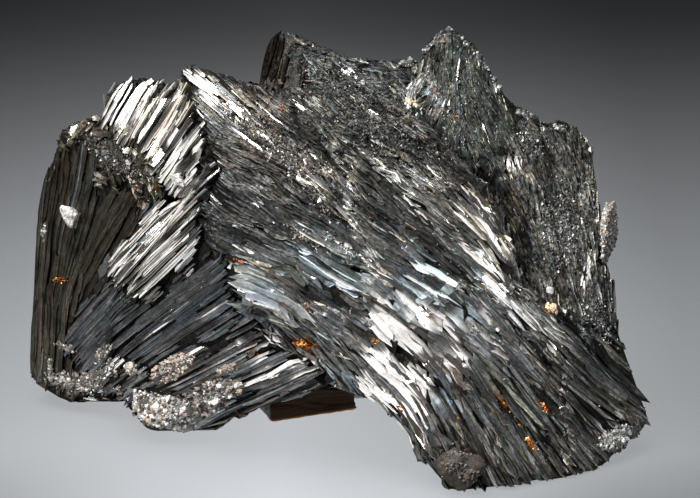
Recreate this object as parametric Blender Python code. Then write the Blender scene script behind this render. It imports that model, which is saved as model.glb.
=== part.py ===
"""Arsenopyrite specimen, about 94 mm wide: one grown-together mass of bladed crystals, with a few
small pieces of other minerals seated in it.

Run with: blender --background --python part.py

Frame: +Z up, +X to the right, -Y towards the viewer, the origin in the middle of the base at the
height of the surface that it rests on. Corners are written in millimetres, as (across, depth, up),
in a layout frame whose origin is near the middle of the base; the whole specimen is centred at the end.

The mass is built as it grew. Convex crystal bodies give the bulk, and sheaves of laths lie over
them. A sheaf is a set of laths that run from points on its root line to points on its tip line.
"""

import math

import bmesh
import bpy
from mathutils import Matrix, Vector

MM = 0.001
HEART = Vector((0.0, 6.0, 24.0))  # a point deep in the mass, which every sheaf faces away from
SEAT_GAP = 0.35  # clearance between a seated mineral and its pocket
BED_DEPTH = 1.4  # how far below its laths a sheaf's bed lies
PROUD = 0.9  # how far the highest laths of a sheaf stand above the lowest
ROLL = 11.0  # degrees, the furthest a lath is rolled about its own length
LATH_OVERLAP = 1.3  # a lath's width over the pitch of its sheaf
CHISEL = 1.3  # how far the outer edge of a lath's end is drawn back
FLAT_ANGLE = 0.5  # degrees, the bend under which neighbouring faces count as one
SPECK = 0.003  # corners nearer than this are one corner
GOLDEN = 0.618  # a step that spreads values evenly without a pattern
LEAST_PITCH = 0.4  # the narrowest a lath gets, before it overlaps its neighbours
BED_TO_HEART = 0.6  # how far towards the heart the inner corner of a bed lies
CORE_SIZE = 12.0  # the cube at the heart that everything grows on
FLOOR_CUTTER = (200.0, 200.0, 40.0)  # the block that cuts the base flat
PEBBLE_CORNERS = 30
PEBBLE_UNEVEN = 0.22  # how far a pebble's corners lie inside its ellipsoid, as a share

# Convex crystal bodies, by their corners.
BODIES = {
    "heart": [
        (-40, 12, 5), (-41, 22, 8), (-40, 23, 30), (-34, 23, 39), (-14, 24, 46), (4, 25, 44),
        (26, 23, 38), (38, 18, 26), (38.5, 12, 6), (26, 21, -1), (10, 25, -1), (-14, 25, -1),
        (-32, 18, -1), (-33, 4, 8), (-30, 3, 30), (-20, 1, 41), (-14, -7, 34), (-17, -6, 16),
        (-12, 8, 3.5), (2, 9, 3.5), (-2, -8, 20), (10, -10, 30), (14, -13, 16), (0, 4, 46),
        (24, 14, -1), (30, -4, 20), (24, 4, 38), (37, 2, 16),
    ],
    "left_foot": [
        (-32, 0, 4), (-28.5, 0, -1), (-20, 0.3, -1), (-15, -4, 5), (-22, -8, 9),
        (-25, 12, -1), (-16, 10, -1), (-33, 6, 5), (-31, -3, 8),
    ],
    "back_peak": [
        (-11.8, 14, 52.9), (-11.7, 10, 49.7), (-10.6, 16, 56.7), (-9.7, 17, 57.7),
        (-7.9, 16, 58.1), (-3, 14, 56.2), (0, 13, 55.2), (-3, 7, 52), (-10, 23, 50), (2, 24, 48),
        (0, 20, 36), (-8, 8, 40),
    ],
    "saddle": [
        (-1.5, 13, 55.0), (4.5, 12.5, 53.2), (9, 13.5, 53.0), (12, 14, 54), (-2, 6, 51),
        (10, 3, 47), (12, 22, 46), (0, 23, 46), (4, 10, 36), (20, 5, 39),
    ],
}

# Sheaves of laths: root line, tip line, number of laths, lath thickness, and how uneven the ends are.
SHEAVES = {
    "wing": ([(-47.8, 10.5, 3.0), (-43, 7.5, 1.2), (-36, 3.5, 2.8), (-34.5, 1, 12)],
             [(-45.9, 13.1, 32.4), (-41.5, 14, 44.2), (-34, 8.5, 44), (-27, 1, 38.5)],
             10, 4.0, 0.7),
    "wing_crown": ([(-41.5, 12.5, 42.5), (-34, 6, 40), (-27.5, 0, 35.5)],
                   [(-38.5, 12.5, 45.8), (-33, 9, 46), (-25.5, 1, 41.5)], 5, 4.0, 0.6),
    "fan": ([(-35.3, -4, 17), (-36, -3, 9), (-31, -2.4, 2.5), (-24, -2.4, 0.4)],
            [(-18.5, -11, 46.7), (-19.7, -13.5, 39), (-14, -17, 27), (-1.4, -16.2, 14.2)],
            15, 4.0, 1.2),
    "fan_steps": ([(-33, -6, 12), (-31, -5.5, 8), (-26, -5.4, 5.4)],
                  [(-20, -14.4, 30.5), (-15, -15.6, 21.5), (-8, -15.2, 13.6)], 6, 3.0, 2.0),
    "pale_tips": ([(-36, 8.4, 45), (-30, 3, 41), (-26, -2, 39), (-21, -6, 42)],
                  [(-35.2, 10.6, 51.2), (-32.5, 10, 53), (-27, 8.8, 52.7), (-21.5, -0.6, 50)],
                  7, 4.0, 0.5),
    "ridge": ([(-24, 8, 56.3), (-22, 0, 52), (-18.5, -10, 46.6)],
              [(-8, 3.2, 52.4), (0, -6.5, 44.5), (1, -12, 38.9)], 10, 3.5, 1.4),
    "seam": ([(-18.5, -11, 46.2), (-19.8, -13.2, 40), (-19.5, -15, 35.5)],
             [(1.5, -11, 39), (3.5, -16, 28.5)], 5, 4.0, 1.0),
    "lower_middle": ([(-19.3, -15.5, 36), (-15, -17.6, 28.5), (-8, -17.8, 20.5), (-2.2, -17, 15.4)],
                     [(8.8, -15.8, 28.5), (10, -18.6, 20), (10, -19.6, 11)], 9, 4.0, 1.5),
    "upper_middle": ([(0, -3, 48), (1.5, -11.5, 38.5), (3, -15.4, 28.5)],
                     [(26.5, -8, 28.5), (21, -14, 20.5), (14, -19.5, 14)], 9, 4.0, 1.6),
    "crown": ([(-11, 6, 52.4), (-6, -0.6, 48.6), (-3, -6, 43.5)],
              [(7, 7.2, 52.9), (15, 1.4, 47.4), (19, -4, 39)], 7, 3.5, 1.0),
    "shelf": ([(3, 7.4, 53.4), (9, 0.4, 47), (11, -6, 40)],
              [(14, 4.4, 48), (21, -2.4, 40.6), (27, -8.4, 29)], 6, 3.5, 1.0),
    "foot": ([(8, -17.4, 24), (13, -15.4, 27.4), (18.5, -13.2, 29), (26, -9.6, 27.5),
              (34.5, -6.4, 22), (40.8, -0.6, 16)],
             [(7.6, -19.6, 10.4), (12.8, -23, 5.2), (18, -24.8, 0), (27, -22.4, -0.2),
              (38, -16.8, -0.8), (46, -9.4, 5)], 15, 4.5, 1.4),
    "tall_peak": ([(10, 6, 49), (14, 2, 42), (21, 1.6, 42), (28, 5, 43.5)],
                  [(13.2, 13.5, 57), (15, 14, 59.6), (17, 14, 59.9), (20.8, 13.5, 56.3)],
                  8, 4.0, 0.5),
    "peak_shoulder": ([(21, 3, 42), (26.5, 2, 38), (31, 1, 37)],
                      [(20.6, 13.2, 55.4), (24.6, 12.2, 49.4), (30, 12, 45.6)], 5, 4.0, 0.4),
    "shoulder": ([(26, 4.5, 44), (31, 10, 45.8), (35, 11, 46.1), (37, 10.6, 44.0)],
                 [(30.5, -6, 22), (35, -5, 18), (39.4, -2, 15.8), (41.6, 1, 14)], 9, 4.0, 0.9),
    "right_flank": ([(37.8, 10.9, 43.2), (35.4, 19, 40)],
                    [(42.2, 2, 13), (41.2, 12, 4)], 4, 5.0, 1.0),
    "left_flank": ([(-47.8, 10.5, 3.0), (-43, 21, 5)],
                   [(-45.2, 13.8, 32), (-40.5, 21, 33)], 4, 5.0, 0.8),
    "top_left": ([(-35.4, 13.4, 46.4), (-38, 22, 38)],
                 [(-24, 8, 53), (-20, 18, 48)], 4, 5.0, 0.8),
    "top_back": ([(-22, 8, 54), (-26, 23, 44)],
                 [(-8, 8, 52), (-8, 24, 46)], 4, 5.0, 0.8),
    "back_left": ([(-10, 28, 4), (-26, 26, 2), (-42, 20, 5)],
                  [(-11, 25, 46), (-26, 24, 43), (-40, 22, 37)], 6, 6.0, 1.2),
    "back_right": ([(-8, 29, 4), (20, 26, 2), (41, 14, 5)],
                   [(-6, 24, 48.5), (14, 22, 50), (36, 18, 41)], 7, 6.0, 1.4),
}

# Other minerals, seated in pockets of the mass.
SIDERITE_BLOCK = {"centre": (-5.6, 9.4, 3.2), "size": (14.0, 9.0, 6.4), "turn": 22.0}
PEBBLES = {  # centre, radii, seed of its unevenness, finish
    "foot_crust": ((-25.0, -4.4, 6.4), (6.8, 3.6, 5.2), 0.1, "crust"),
    "rock_lump": ((17.8, -23.4, 3.1), (4.4, 3.3, 3.0), 0.5, "rock"),
    "quartz_grain_left": ((-41.2, 9.4, 31.0), (1.5, 1.5, 1.9), 0.3, "quartz"),
    "quartz_grain_upper": ((-24.0, -3.2, 41.4), (1.5, 1.2, 1.4), 0.7, "quartz"),
    "quartz_grain_right": ((31.2, -8.3, 25.8), (1.3, 1.2, 1.3), 0.9, "quartz"),
}
EDGE_FLAKE = {"centre": (40.6, 6.6, 29.2), "size": (1.6, 6.0, 8.6), "turn": -24.0, "lean": 4.0}

FINISHES = {  # base colour, metallic, roughness
    "arsenopyrite": ((0.33, 0.33, 0.34), 1.0, 0.32),
    "siderite": ((0.10, 0.045, 0.02), 0.0, 0.30),
    "crust": ((0.52, 0.47, 0.44), 0.2, 0.45),
    "rock": ((0.16, 0.13, 0.10), 0.0, 0.80),
    "quartz": ((0.80, 0.80, 0.80), 0.0, 0.25),
    "mica": ((0.50, 0.50, 0.46), 0.3, 0.35),
}


def clear_scene():
    """Removes whatever the startup file holds."""
    for obj in list(bpy.data.objects):
        bpy.data.objects.remove(obj, do_unlink=True)


def new_collection(name):
    collection = bpy.data.collections.new(name)
    bpy.context.scene.collection.children.link(collection)
    return collection


def finish(name):
    """The material of that name, made once."""
    if name in bpy.data.materials:
        return bpy.data.materials[name]
    colour, metallic, roughness = FINISHES[name]
    material = bpy.data.materials.new(name)
    material.use_nodes = True
    shader = material.node_tree.nodes["Principled BSDF"]
    shader.inputs["Base Color"].default_value = (*colour, 1.0)
    shader.inputs["Metallic"].default_value = metallic
    shader.inputs["Roughness"].default_value = roughness
    return material


def add_object(name, bm, collection, material=None):
    """An object made from a bmesh whose points are in millimetres."""
    bmesh.ops.scale(bm, vec=(MM, MM, MM), verts=bm.verts)
    bmesh.ops.recalc_face_normals(bm, faces=bm.faces)
    mesh = bpy.data.meshes.new(name)
    bm.to_mesh(mesh)
    bm.free()
    obj = bpy.data.objects.new(name, mesh)
    collection.objects.link(obj)
    if material:
        mesh.materials.append(finish(material))
    return obj


def hide_helper(obj):
    """A helper shapes the mass and is no piece of the specimen."""
    obj.hide_render = True
    obj.display_type = "WIRE"


def hull_of(corners):
    """The convex hull of corners, as a bmesh without the points left inside."""
    bm = bmesh.new()
    for corner in corners:
        bm.verts.new(corner)
    hull = bmesh.ops.convex_hull(bm, input=bm.verts)
    inside = {item for item in hull["geom_interior"] + hull["geom_unused"]
              if isinstance(item, bmesh.types.BMVert)}
    bmesh.ops.delete(bm, geom=list(inside), context="VERTS")
    return bm


def convex_body(name, corners, collection):
    """A crystal body of the mass."""
    hide_helper(add_object(name, hull_of(corners), collection))


def point_along(line, share):
    """The point at that share of a broken line, counted in equal parts between its corners."""
    place = share * (len(line) - 1)
    start = min(int(place), len(line) - 2)
    return Vector(line[start]).lerp(Vector(line[start + 1]), place - start)


def spread(i, start):
    """A value between 0 and 1 for the ith lath, unlike those of its neighbours."""
    return (i * GOLDEN + start) % 1.0


def lath(name, root, tip, side, out, widths, thickness, collection):
    """A flat crystal from root to tip, its outer face through both, with chisel ends.

    A unit cube is stretched along the lath, and its outer corners are drawn back at both ends."""
    bm = bmesh.new()
    bmesh.ops.create_cube(bm, size=1.0)
    along = (tip - root).normalized()
    for vert in bm.verts:
        at_tip = vert.co.x > 0
        outer = vert.co.z > 0
        draw_back = along * (CHISEL if outer else 0.0)
        foot = tip - draw_back if at_tip else root + draw_back
        width = widths[1] if at_tip else widths[0]
        vert.co = foot + side * (vert.co.y * width) - out * (0.0 if outer else thickness)
    hide_helper(add_object(name, bm, collection))


def facing(root, tip, pitch):
    """The direction square to a lath and to the row it stands in, away from the heart."""
    out = (tip - root).cross(pitch).normalized()
    return out if out.dot((root + tip) / 2 - HEART) > 0 else -out


def sheaf(name, roots, tips, count, thickness, uneven, collection):
    """Laths side by side from the root line to the tip line, on a convex bed."""
    step = 1.0 / count
    bed = []
    for i in range(count):
        share = (i + 0.5) * step
        root, tip = point_along(roots, share), point_along(tips, share)
        root_pitch = point_along(roots, share + step / 2) - point_along(roots, share - step / 2)
        tip_pitch = point_along(tips, share + step / 2) - point_along(tips, share - step / 2)
        along = (tip - root).normalized()
        out = facing(root, tip, root_pitch + tip_pitch)
        side = out.cross(along)
        widths = [max(abs(pitch.dot(side)), LEAST_PITCH) * LATH_OVERLAP
                  for pitch in (root_pitch, tip_pitch)]
        bed += [root - out * BED_DEPTH, tip - out * BED_DEPTH]
        roll = Matrix.Rotation(math.radians(ROLL * (2 * spread(i, 0.3) - 1)), 3, along)
        lift = out * (PROUD * (spread(i, 0.0) - 0.5))
        reach = along * (uneven * (spread(i, 0.7) - 0.5))
        lath(f"{name}_{i + 1}", root + lift, tip + lift + reach, roll @ side, roll @ out, widths,
             thickness, collection)
    middle = sum(bed, Vector()) / len(bed)
    bed.append(middle.lerp(HEART, BED_TO_HEART))
    convex_body(name + "_bed", bed, collection)


def turned(turn, lean=0.0):
    return Matrix.Rotation(math.radians(turn), 4, "Z") @ Matrix.Rotation(math.radians(lean), 4, "Y")


def block(name, centre, size, turn, grow, collection, material=None, lean=0.0):
    """A cleavage block, or its pocket when it is grown by the seat gap."""
    bm = bmesh.new()
    bmesh.ops.create_cube(bm, size=1.0)
    bmesh.ops.scale(bm, vec=[side + 2 * grow for side in size], verts=bm.verts)
    bmesh.ops.transform(bm, matrix=Matrix.Translation(centre) @ turned(turn, lean), verts=bm.verts)
    return add_object(name, bm, collection, material)


def pebble(name, centre, radii, seed, grow, collection, material=None):
    """An angular grain, crust patch or lump, or its pocket when it is grown by the seat gap.

    Its corners lie on a spiral from pole to pole of an ellipsoid, each drawn in by its own share."""
    centre = Vector(centre)
    corners = []
    for i in range(PEBBLE_CORNERS):
        up = 1.0 - (2 * i + 1) / PEBBLE_CORNERS
        around = 2 * math.pi * GOLDEN * i
        level = math.sqrt(1.0 - up * up)
        way = Vector((level * math.cos(around), level * math.sin(around), up))
        reach = 1.0 - PEBBLE_UNEVEN * spread(7 * i, seed)
        corners.append(centre + Vector([w * (r * reach + grow) for w, r in zip(way, radii)]))
    return add_object(name, hull_of(corners), collection, material)


def boolean(obj, name, operation, collection):
    modifier = obj.modifiers.new(name, "BOOLEAN")
    modifier.operation = operation
    modifier.operand_type = "COLLECTION"
    modifier.collection = collection


def shells_of(bm):
    """The separate closed shells of a mesh, each as a list of its faces."""
    left = set(bm.faces)
    shells = []
    while left:
        shell = []
        front = [left.pop()]
        while front:
            face = front.pop()
            shell.append(face)
            for edge in face.edges:
                for neighbour in edge.link_faces:
                    if neighbour in left:
                        left.remove(neighbour)
                        front.append(neighbour)
        shells.append(shell)
    return shells


def make_solid(obj):
    """Fixes the mass as one shell: fills the specks of space shut in between its laths."""
    bpy.context.view_layer.update()
    evaluated = obj.evaluated_get(bpy.context.evaluated_depsgraph_get())
    bm = bmesh.new()
    bm.from_mesh(evaluated.data)
    shells = sorted(shells_of(bm), key=len)
    for shell in shells[:-1]:
        bmesh.ops.delete(bm, geom=shell, context="FACES")
    bmesh.ops.triangulate(bm, faces=bm.faces)
    bmesh.ops.dissolve_degenerate(bm, dist=SPECK * MM, edges=bm.edges)
    bmesh.ops.dissolve_limit(bm, angle_limit=math.radians(FLAT_ANGLE), verts=bm.verts,
                             edges=bm.edges)
    obj.modifiers.clear()
    bm.to_mesh(obj.data)
    bm.free()


def seat_minerals(pieces, pockets):
    """The siderite block, flake, crust, lump and grains, each with a slightly larger pocket."""
    b, f = SIDERITE_BLOCK, EDGE_FLAKE
    for grow, home, suffix in ((0.0, pieces, ""), (SEAT_GAP, pockets, "_pocket")):
        block("siderite_block" + suffix, b["centre"], b["size"], b["turn"], grow, home, "siderite")
        block("edge_flake" + suffix, f["centre"], f["size"], f["turn"], grow, home, "mica",
              lean=f["lean"])
        for name, (centre, radii, seed, material) in PEBBLES.items():
            pebble(name + suffix, centre, radii, seed, grow, home, material)
    for pocket in pockets.objects:
        hide_helper(pocket)


def floor_cutter(collection):
    """The block below the resting plane, which cuts the feet flat."""
    below = (0.0, 0.0, -FLOOR_CUTTER[2] / 2)
    hide_helper(block("floor_cutter", below, FLOOR_CUTTER, 0.0, 0.0, collection))


def centre_on_base(holder, pieces):
    """Moves the specimen so that the middle of its box's base is at the origin."""
    bpy.context.view_layer.update()
    graph = bpy.context.evaluated_depsgraph_get()
    points = []
    for obj in pieces.objects:
        evaluated = obj.evaluated_get(graph)
        points += [evaluated.matrix_world @ vert.co for vert in evaluated.data.vertices]
    low = [min(p[axis] for p in points) for axis in range(3)]
    high = [max(p[axis] for p in points) for axis in range(3)]
    holder.location = (-(low[0] + high[0]) / 2, -(low[1] + high[1]) / 2, -low[2])


def main():
    clear_scene()
    pieces = new_collection("arsenopyrite_specimen")
    helpers = new_collection("crystal_bodies")
    pockets = new_collection("pockets_and_cutters")

    for name, corners in BODIES.items():
        convex_body("body_" + name, corners, helpers)
    for name, (roots, tips, count, thickness, uneven) in SHEAVES.items():
        sheaf("sheaf_" + name, roots, tips, count, thickness, uneven, helpers)

    bm = bmesh.new()
    bmesh.ops.create_cube(bm, size=CORE_SIZE)
    bmesh.ops.translate(bm, vec=HEART, verts=bm.verts)
    mass = add_object("arsenopyrite_mass", bm, pieces, "arsenopyrite")
    boolean(mass, "grown together", "UNION", helpers)
    seat_minerals(pieces, pockets)
    floor_cutter(pockets)
    boolean(mass, "pockets and base", "DIFFERENCE", pockets)
    make_solid(mass)

    holder = bpy.data.objects.new("specimen_frame", None)
    bpy.context.scene.collection.objects.link(holder)
    for collection in (pieces, helpers, pockets):
        for obj in collection.objects:
            obj.parent = holder
    centre_on_base(holder, pieces)


main()
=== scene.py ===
"""Looks of the arsenopyrite specimen: thousands of fine crystal laths grown over the solid mass.

The solid mass stays as the inside of the specimen, near black as painted shade for the gaps between
laths. Laths are sown over its surface. Spots tell which way the grain of each part of the specimen
runs, and every lath follows the spots near it.
Laths stand in clumps that share one orientation, as crystals of one sheaf do, so that a whole clump
catches the light together.

Lengths on the specimen are in millimetres, times MM. The floor, lights and clip distances are in
metres.
"""

import math
from types import SimpleNamespace

import bpy
import numpy as np
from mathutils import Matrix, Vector
from mathutils.bvhtree import BVHTree


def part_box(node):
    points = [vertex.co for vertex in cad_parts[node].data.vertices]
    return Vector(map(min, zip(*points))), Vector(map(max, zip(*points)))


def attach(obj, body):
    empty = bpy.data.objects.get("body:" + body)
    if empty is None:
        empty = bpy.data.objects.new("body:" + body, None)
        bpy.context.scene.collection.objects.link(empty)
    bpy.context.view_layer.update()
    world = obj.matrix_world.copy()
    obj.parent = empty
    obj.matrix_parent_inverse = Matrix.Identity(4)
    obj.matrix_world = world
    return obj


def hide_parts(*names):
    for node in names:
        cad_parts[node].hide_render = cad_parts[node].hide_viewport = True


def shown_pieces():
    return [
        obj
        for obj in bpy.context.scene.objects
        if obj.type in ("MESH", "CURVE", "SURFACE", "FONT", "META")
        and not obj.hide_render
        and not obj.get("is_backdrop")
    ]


MM = 0.001
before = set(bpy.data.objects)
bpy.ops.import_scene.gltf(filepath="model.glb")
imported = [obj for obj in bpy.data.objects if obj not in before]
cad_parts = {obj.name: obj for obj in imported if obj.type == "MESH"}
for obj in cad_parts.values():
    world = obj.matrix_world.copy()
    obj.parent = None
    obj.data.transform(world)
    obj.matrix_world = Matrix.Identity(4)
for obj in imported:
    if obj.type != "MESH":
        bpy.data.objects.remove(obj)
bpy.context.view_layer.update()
RANDOM = np.random.default_rng(41)

# ---------------- camera

FRAME_WIDTH = 700
FRAME_HEIGHT = 498
LENS = 200.0
SENSOR = 36.0
NEAR_CLIP, FAR_CLIP = 0.01, 20.0
CAMERA_ELEVATION = 20.0
CAMERA_DISTANCE = 583.0 * MM
CAMERA_TARGET = Vector((2.33, -1.25, 29.2)) * MM


def aim(obj, target):
    """Turns an object so that its -Z axis points at the target."""
    obj.rotation_euler = (target - obj.location).to_track_quat("-Z", "Y").to_euler()


def make_camera():
    """A long lens in front of the specimen, looking a little down at it."""
    data = bpy.data.cameras.new("camera")
    data.lens = LENS
    data.sensor_width = SENSOR
    data.clip_start = NEAR_CLIP
    data.clip_end = FAR_CLIP
    camera = bpy.data.objects.new("camera", data)
    bpy.context.scene.collection.objects.link(camera)
    tilt = math.radians(CAMERA_ELEVATION)
    camera.location = CAMERA_TARGET + CAMERA_DISTANCE * Vector((0, -math.cos(tilt), math.sin(tilt)))
    aim(camera, CAMERA_TARGET)
    bpy.context.scene.camera = camera
    bpy.context.view_layer.update()
    return camera


CAMERA = make_camera()


def pixel_ray(x, y):
    """Start and direction of the sight line through a point of the 700 by 498 frame."""
    scale = SENSOR / FRAME_WIDTH / LENS
    local = Vector(((x - FRAME_WIDTH / 2) * scale, (FRAME_HEIGHT / 2 - y) * scale, -1.0))
    turn = CAMERA.matrix_world.to_3x3()
    return CAMERA.location.copy(), (turn @ local).normalized()


# ---------------- guide surface

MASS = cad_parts["arsenopyrite_mass"]
CUBE = 0.6 * MM
GUIDE_SMOOTHING = 3
GUIDE_PROUD = 0.3 * MM
NORMAL_ROUNDS = 8


def unit(v):
    """Vectors scaled to length 1."""
    return v / np.maximum(np.linalg.norm(v, axis=-1, keepdims=True), 1e-12)


def dot(a, b):
    """Sum of the products of the coordinates, kept as a last axis of one."""
    return (a * b).sum(-1, keepdims=True)


def mesh_triangles(mesh):
    """Points of a mesh, and the corners of its triangles."""
    mesh.calc_loop_triangles()
    points = np.empty(len(mesh.vertices) * 3)
    mesh.vertices.foreach_get("co", points)
    corners = np.empty(len(mesh.loop_triangles) * 3, np.int32)
    mesh.loop_triangles.foreach_get("vertices", corners)
    return points.reshape(-1, 3), corners.reshape(-1, 3)


def edge_cross(tri):
    """Cross product of two edges of each triangle: along its normal, and twice its area long."""
    return np.cross(tri[:, 1] - tri[:, 0], tri[:, 2] - tri[:, 0])


def triangles_of(obj):
    """An object's triangles, their normals and their areas."""
    points, corners = mesh_triangles(obj.data)
    cross = edge_cross(points[corners])
    return points[corners], unit(cross), np.linalg.norm(cross, axis=1) / 2


def tree_of(triangles):
    """A search tree over loose triangles."""
    return BVHTree.FromPolygons([Vector(p) for p in triangles.reshape(-1, 3)],
                                [(i, i + 1, i + 2) for i in range(0, 3 * len(triangles), 3)])


def guide_surface(obj):
    """A rounded copy of the mass, as triangle corners, soft normals and areas.

    The mass is rebuilt in small cubes and smoothed, then moved out a little along its normals.
    Soft normals are the mean of the normals around each corner, averaged again and again."""
    guide = obj.copy()
    guide.data = obj.data.copy()
    bpy.context.scene.collection.objects.link(guide)
    cubes = guide.modifiers.new("cubes", "REMESH")
    cubes.mode = "VOXEL"
    cubes.voxel_size = CUBE
    smooth = guide.modifiers.new("smooth", "SMOOTH")
    smooth.iterations = GUIDE_SMOOTHING
    bpy.context.view_layer.update()
    baked = guide.evaluated_get(bpy.context.evaluated_depsgraph_get())
    points, corners = mesh_triangles(baked.to_mesh())
    baked.to_mesh_clear()
    data = guide.data
    bpy.data.objects.remove(guide)
    bpy.data.meshes.remove(data)

    cross = edge_cross(points[corners])
    normals = cross
    for turn in range(NORMAL_ROUNDS):
        soft = np.stack([np.bincount(corners.ravel(), np.repeat(normals[:, axis], 3), len(points))
                         for axis in range(3)], 1)
        if turn == 1:
            points = points + unit(soft) * GUIDE_PROUD
        normals = unit(unit(soft)[corners].mean(1))
    return points[corners], normals, np.linalg.norm(cross, axis=1) / 2


GUIDE, GUIDE_NORMAL, GUIDE_AREA = guide_surface(MASS)
GUIDE_CENTRE = GUIDE.mean(axis=1)
GUIDE_TREE = tree_of(GUIDE)
CORE, CORE_NORMAL, _ = triangles_of(MASS)
CORE_TREE = tree_of(CORE)


def drop(points, tree=GUIDE_TREE):
    """Nearest places on the guide surface or another tree, and the triangles they lie on."""
    places = np.empty_like(points)
    index = np.empty(len(points), int)
    for i, point in enumerate(points):
        place, _, index[i], _ = tree.find_nearest(point)
        places[i] = place
    return places, index


# ---------------- grain of the specimen

# Every part of the surface: how its laths look, and spots that tell which way its grain runs.
# family                  parts of one family run into each other, other families end at their edge
# length, width, depth    of a lath, in millimetres
# cover                   how many times the laths would cover the surface
# clump, stretch          spacing of the clumps, in millimetres, and how much longer they are
# roll, stray             how far clumps turn about their grain and single laths out of it, degrees
# step, lift              height differences between clumps, and how far tips rise, in millimetres
# wave                    how far a lath winds from side to side, in millimetres
# taper                   from 0 for even laths with square ends to 1 for lens-shaped ones
# ridge                   how high the ridge along a lath stands, in widths
# catch                   share of the clumps that face the light, most of their laths with a painted highlight
# proud                   how far the whole part stands out, in millimetres
# grit                    how grainy the laths are, 0 to 1
# tint                    metal colour; raised to a painted highlight on the tips, the fan's top,
#                         the bright plates and the streaks, and a painted blue reflection on the
#                         blue plates
# spots                   across and down in the frame, and grain angle in degrees
USUAL_LATHS = {"depth": 1.2, "cover": 3.0, "stretch": 5, "roll": 12, "step": 0.4, "lift": 0.2,
               "wave": 0.02, "taper": 0.1, "ridge": 0.03, "catch": 0.0, "proud": 0.0}


def part(family, tint, spots, **laths):
    """A part of the surface: the usual laths, but for the values that are named."""
    return {"family": family, "tint": tint, "spots": spots, **USUAL_LATHS, **laths}


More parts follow.
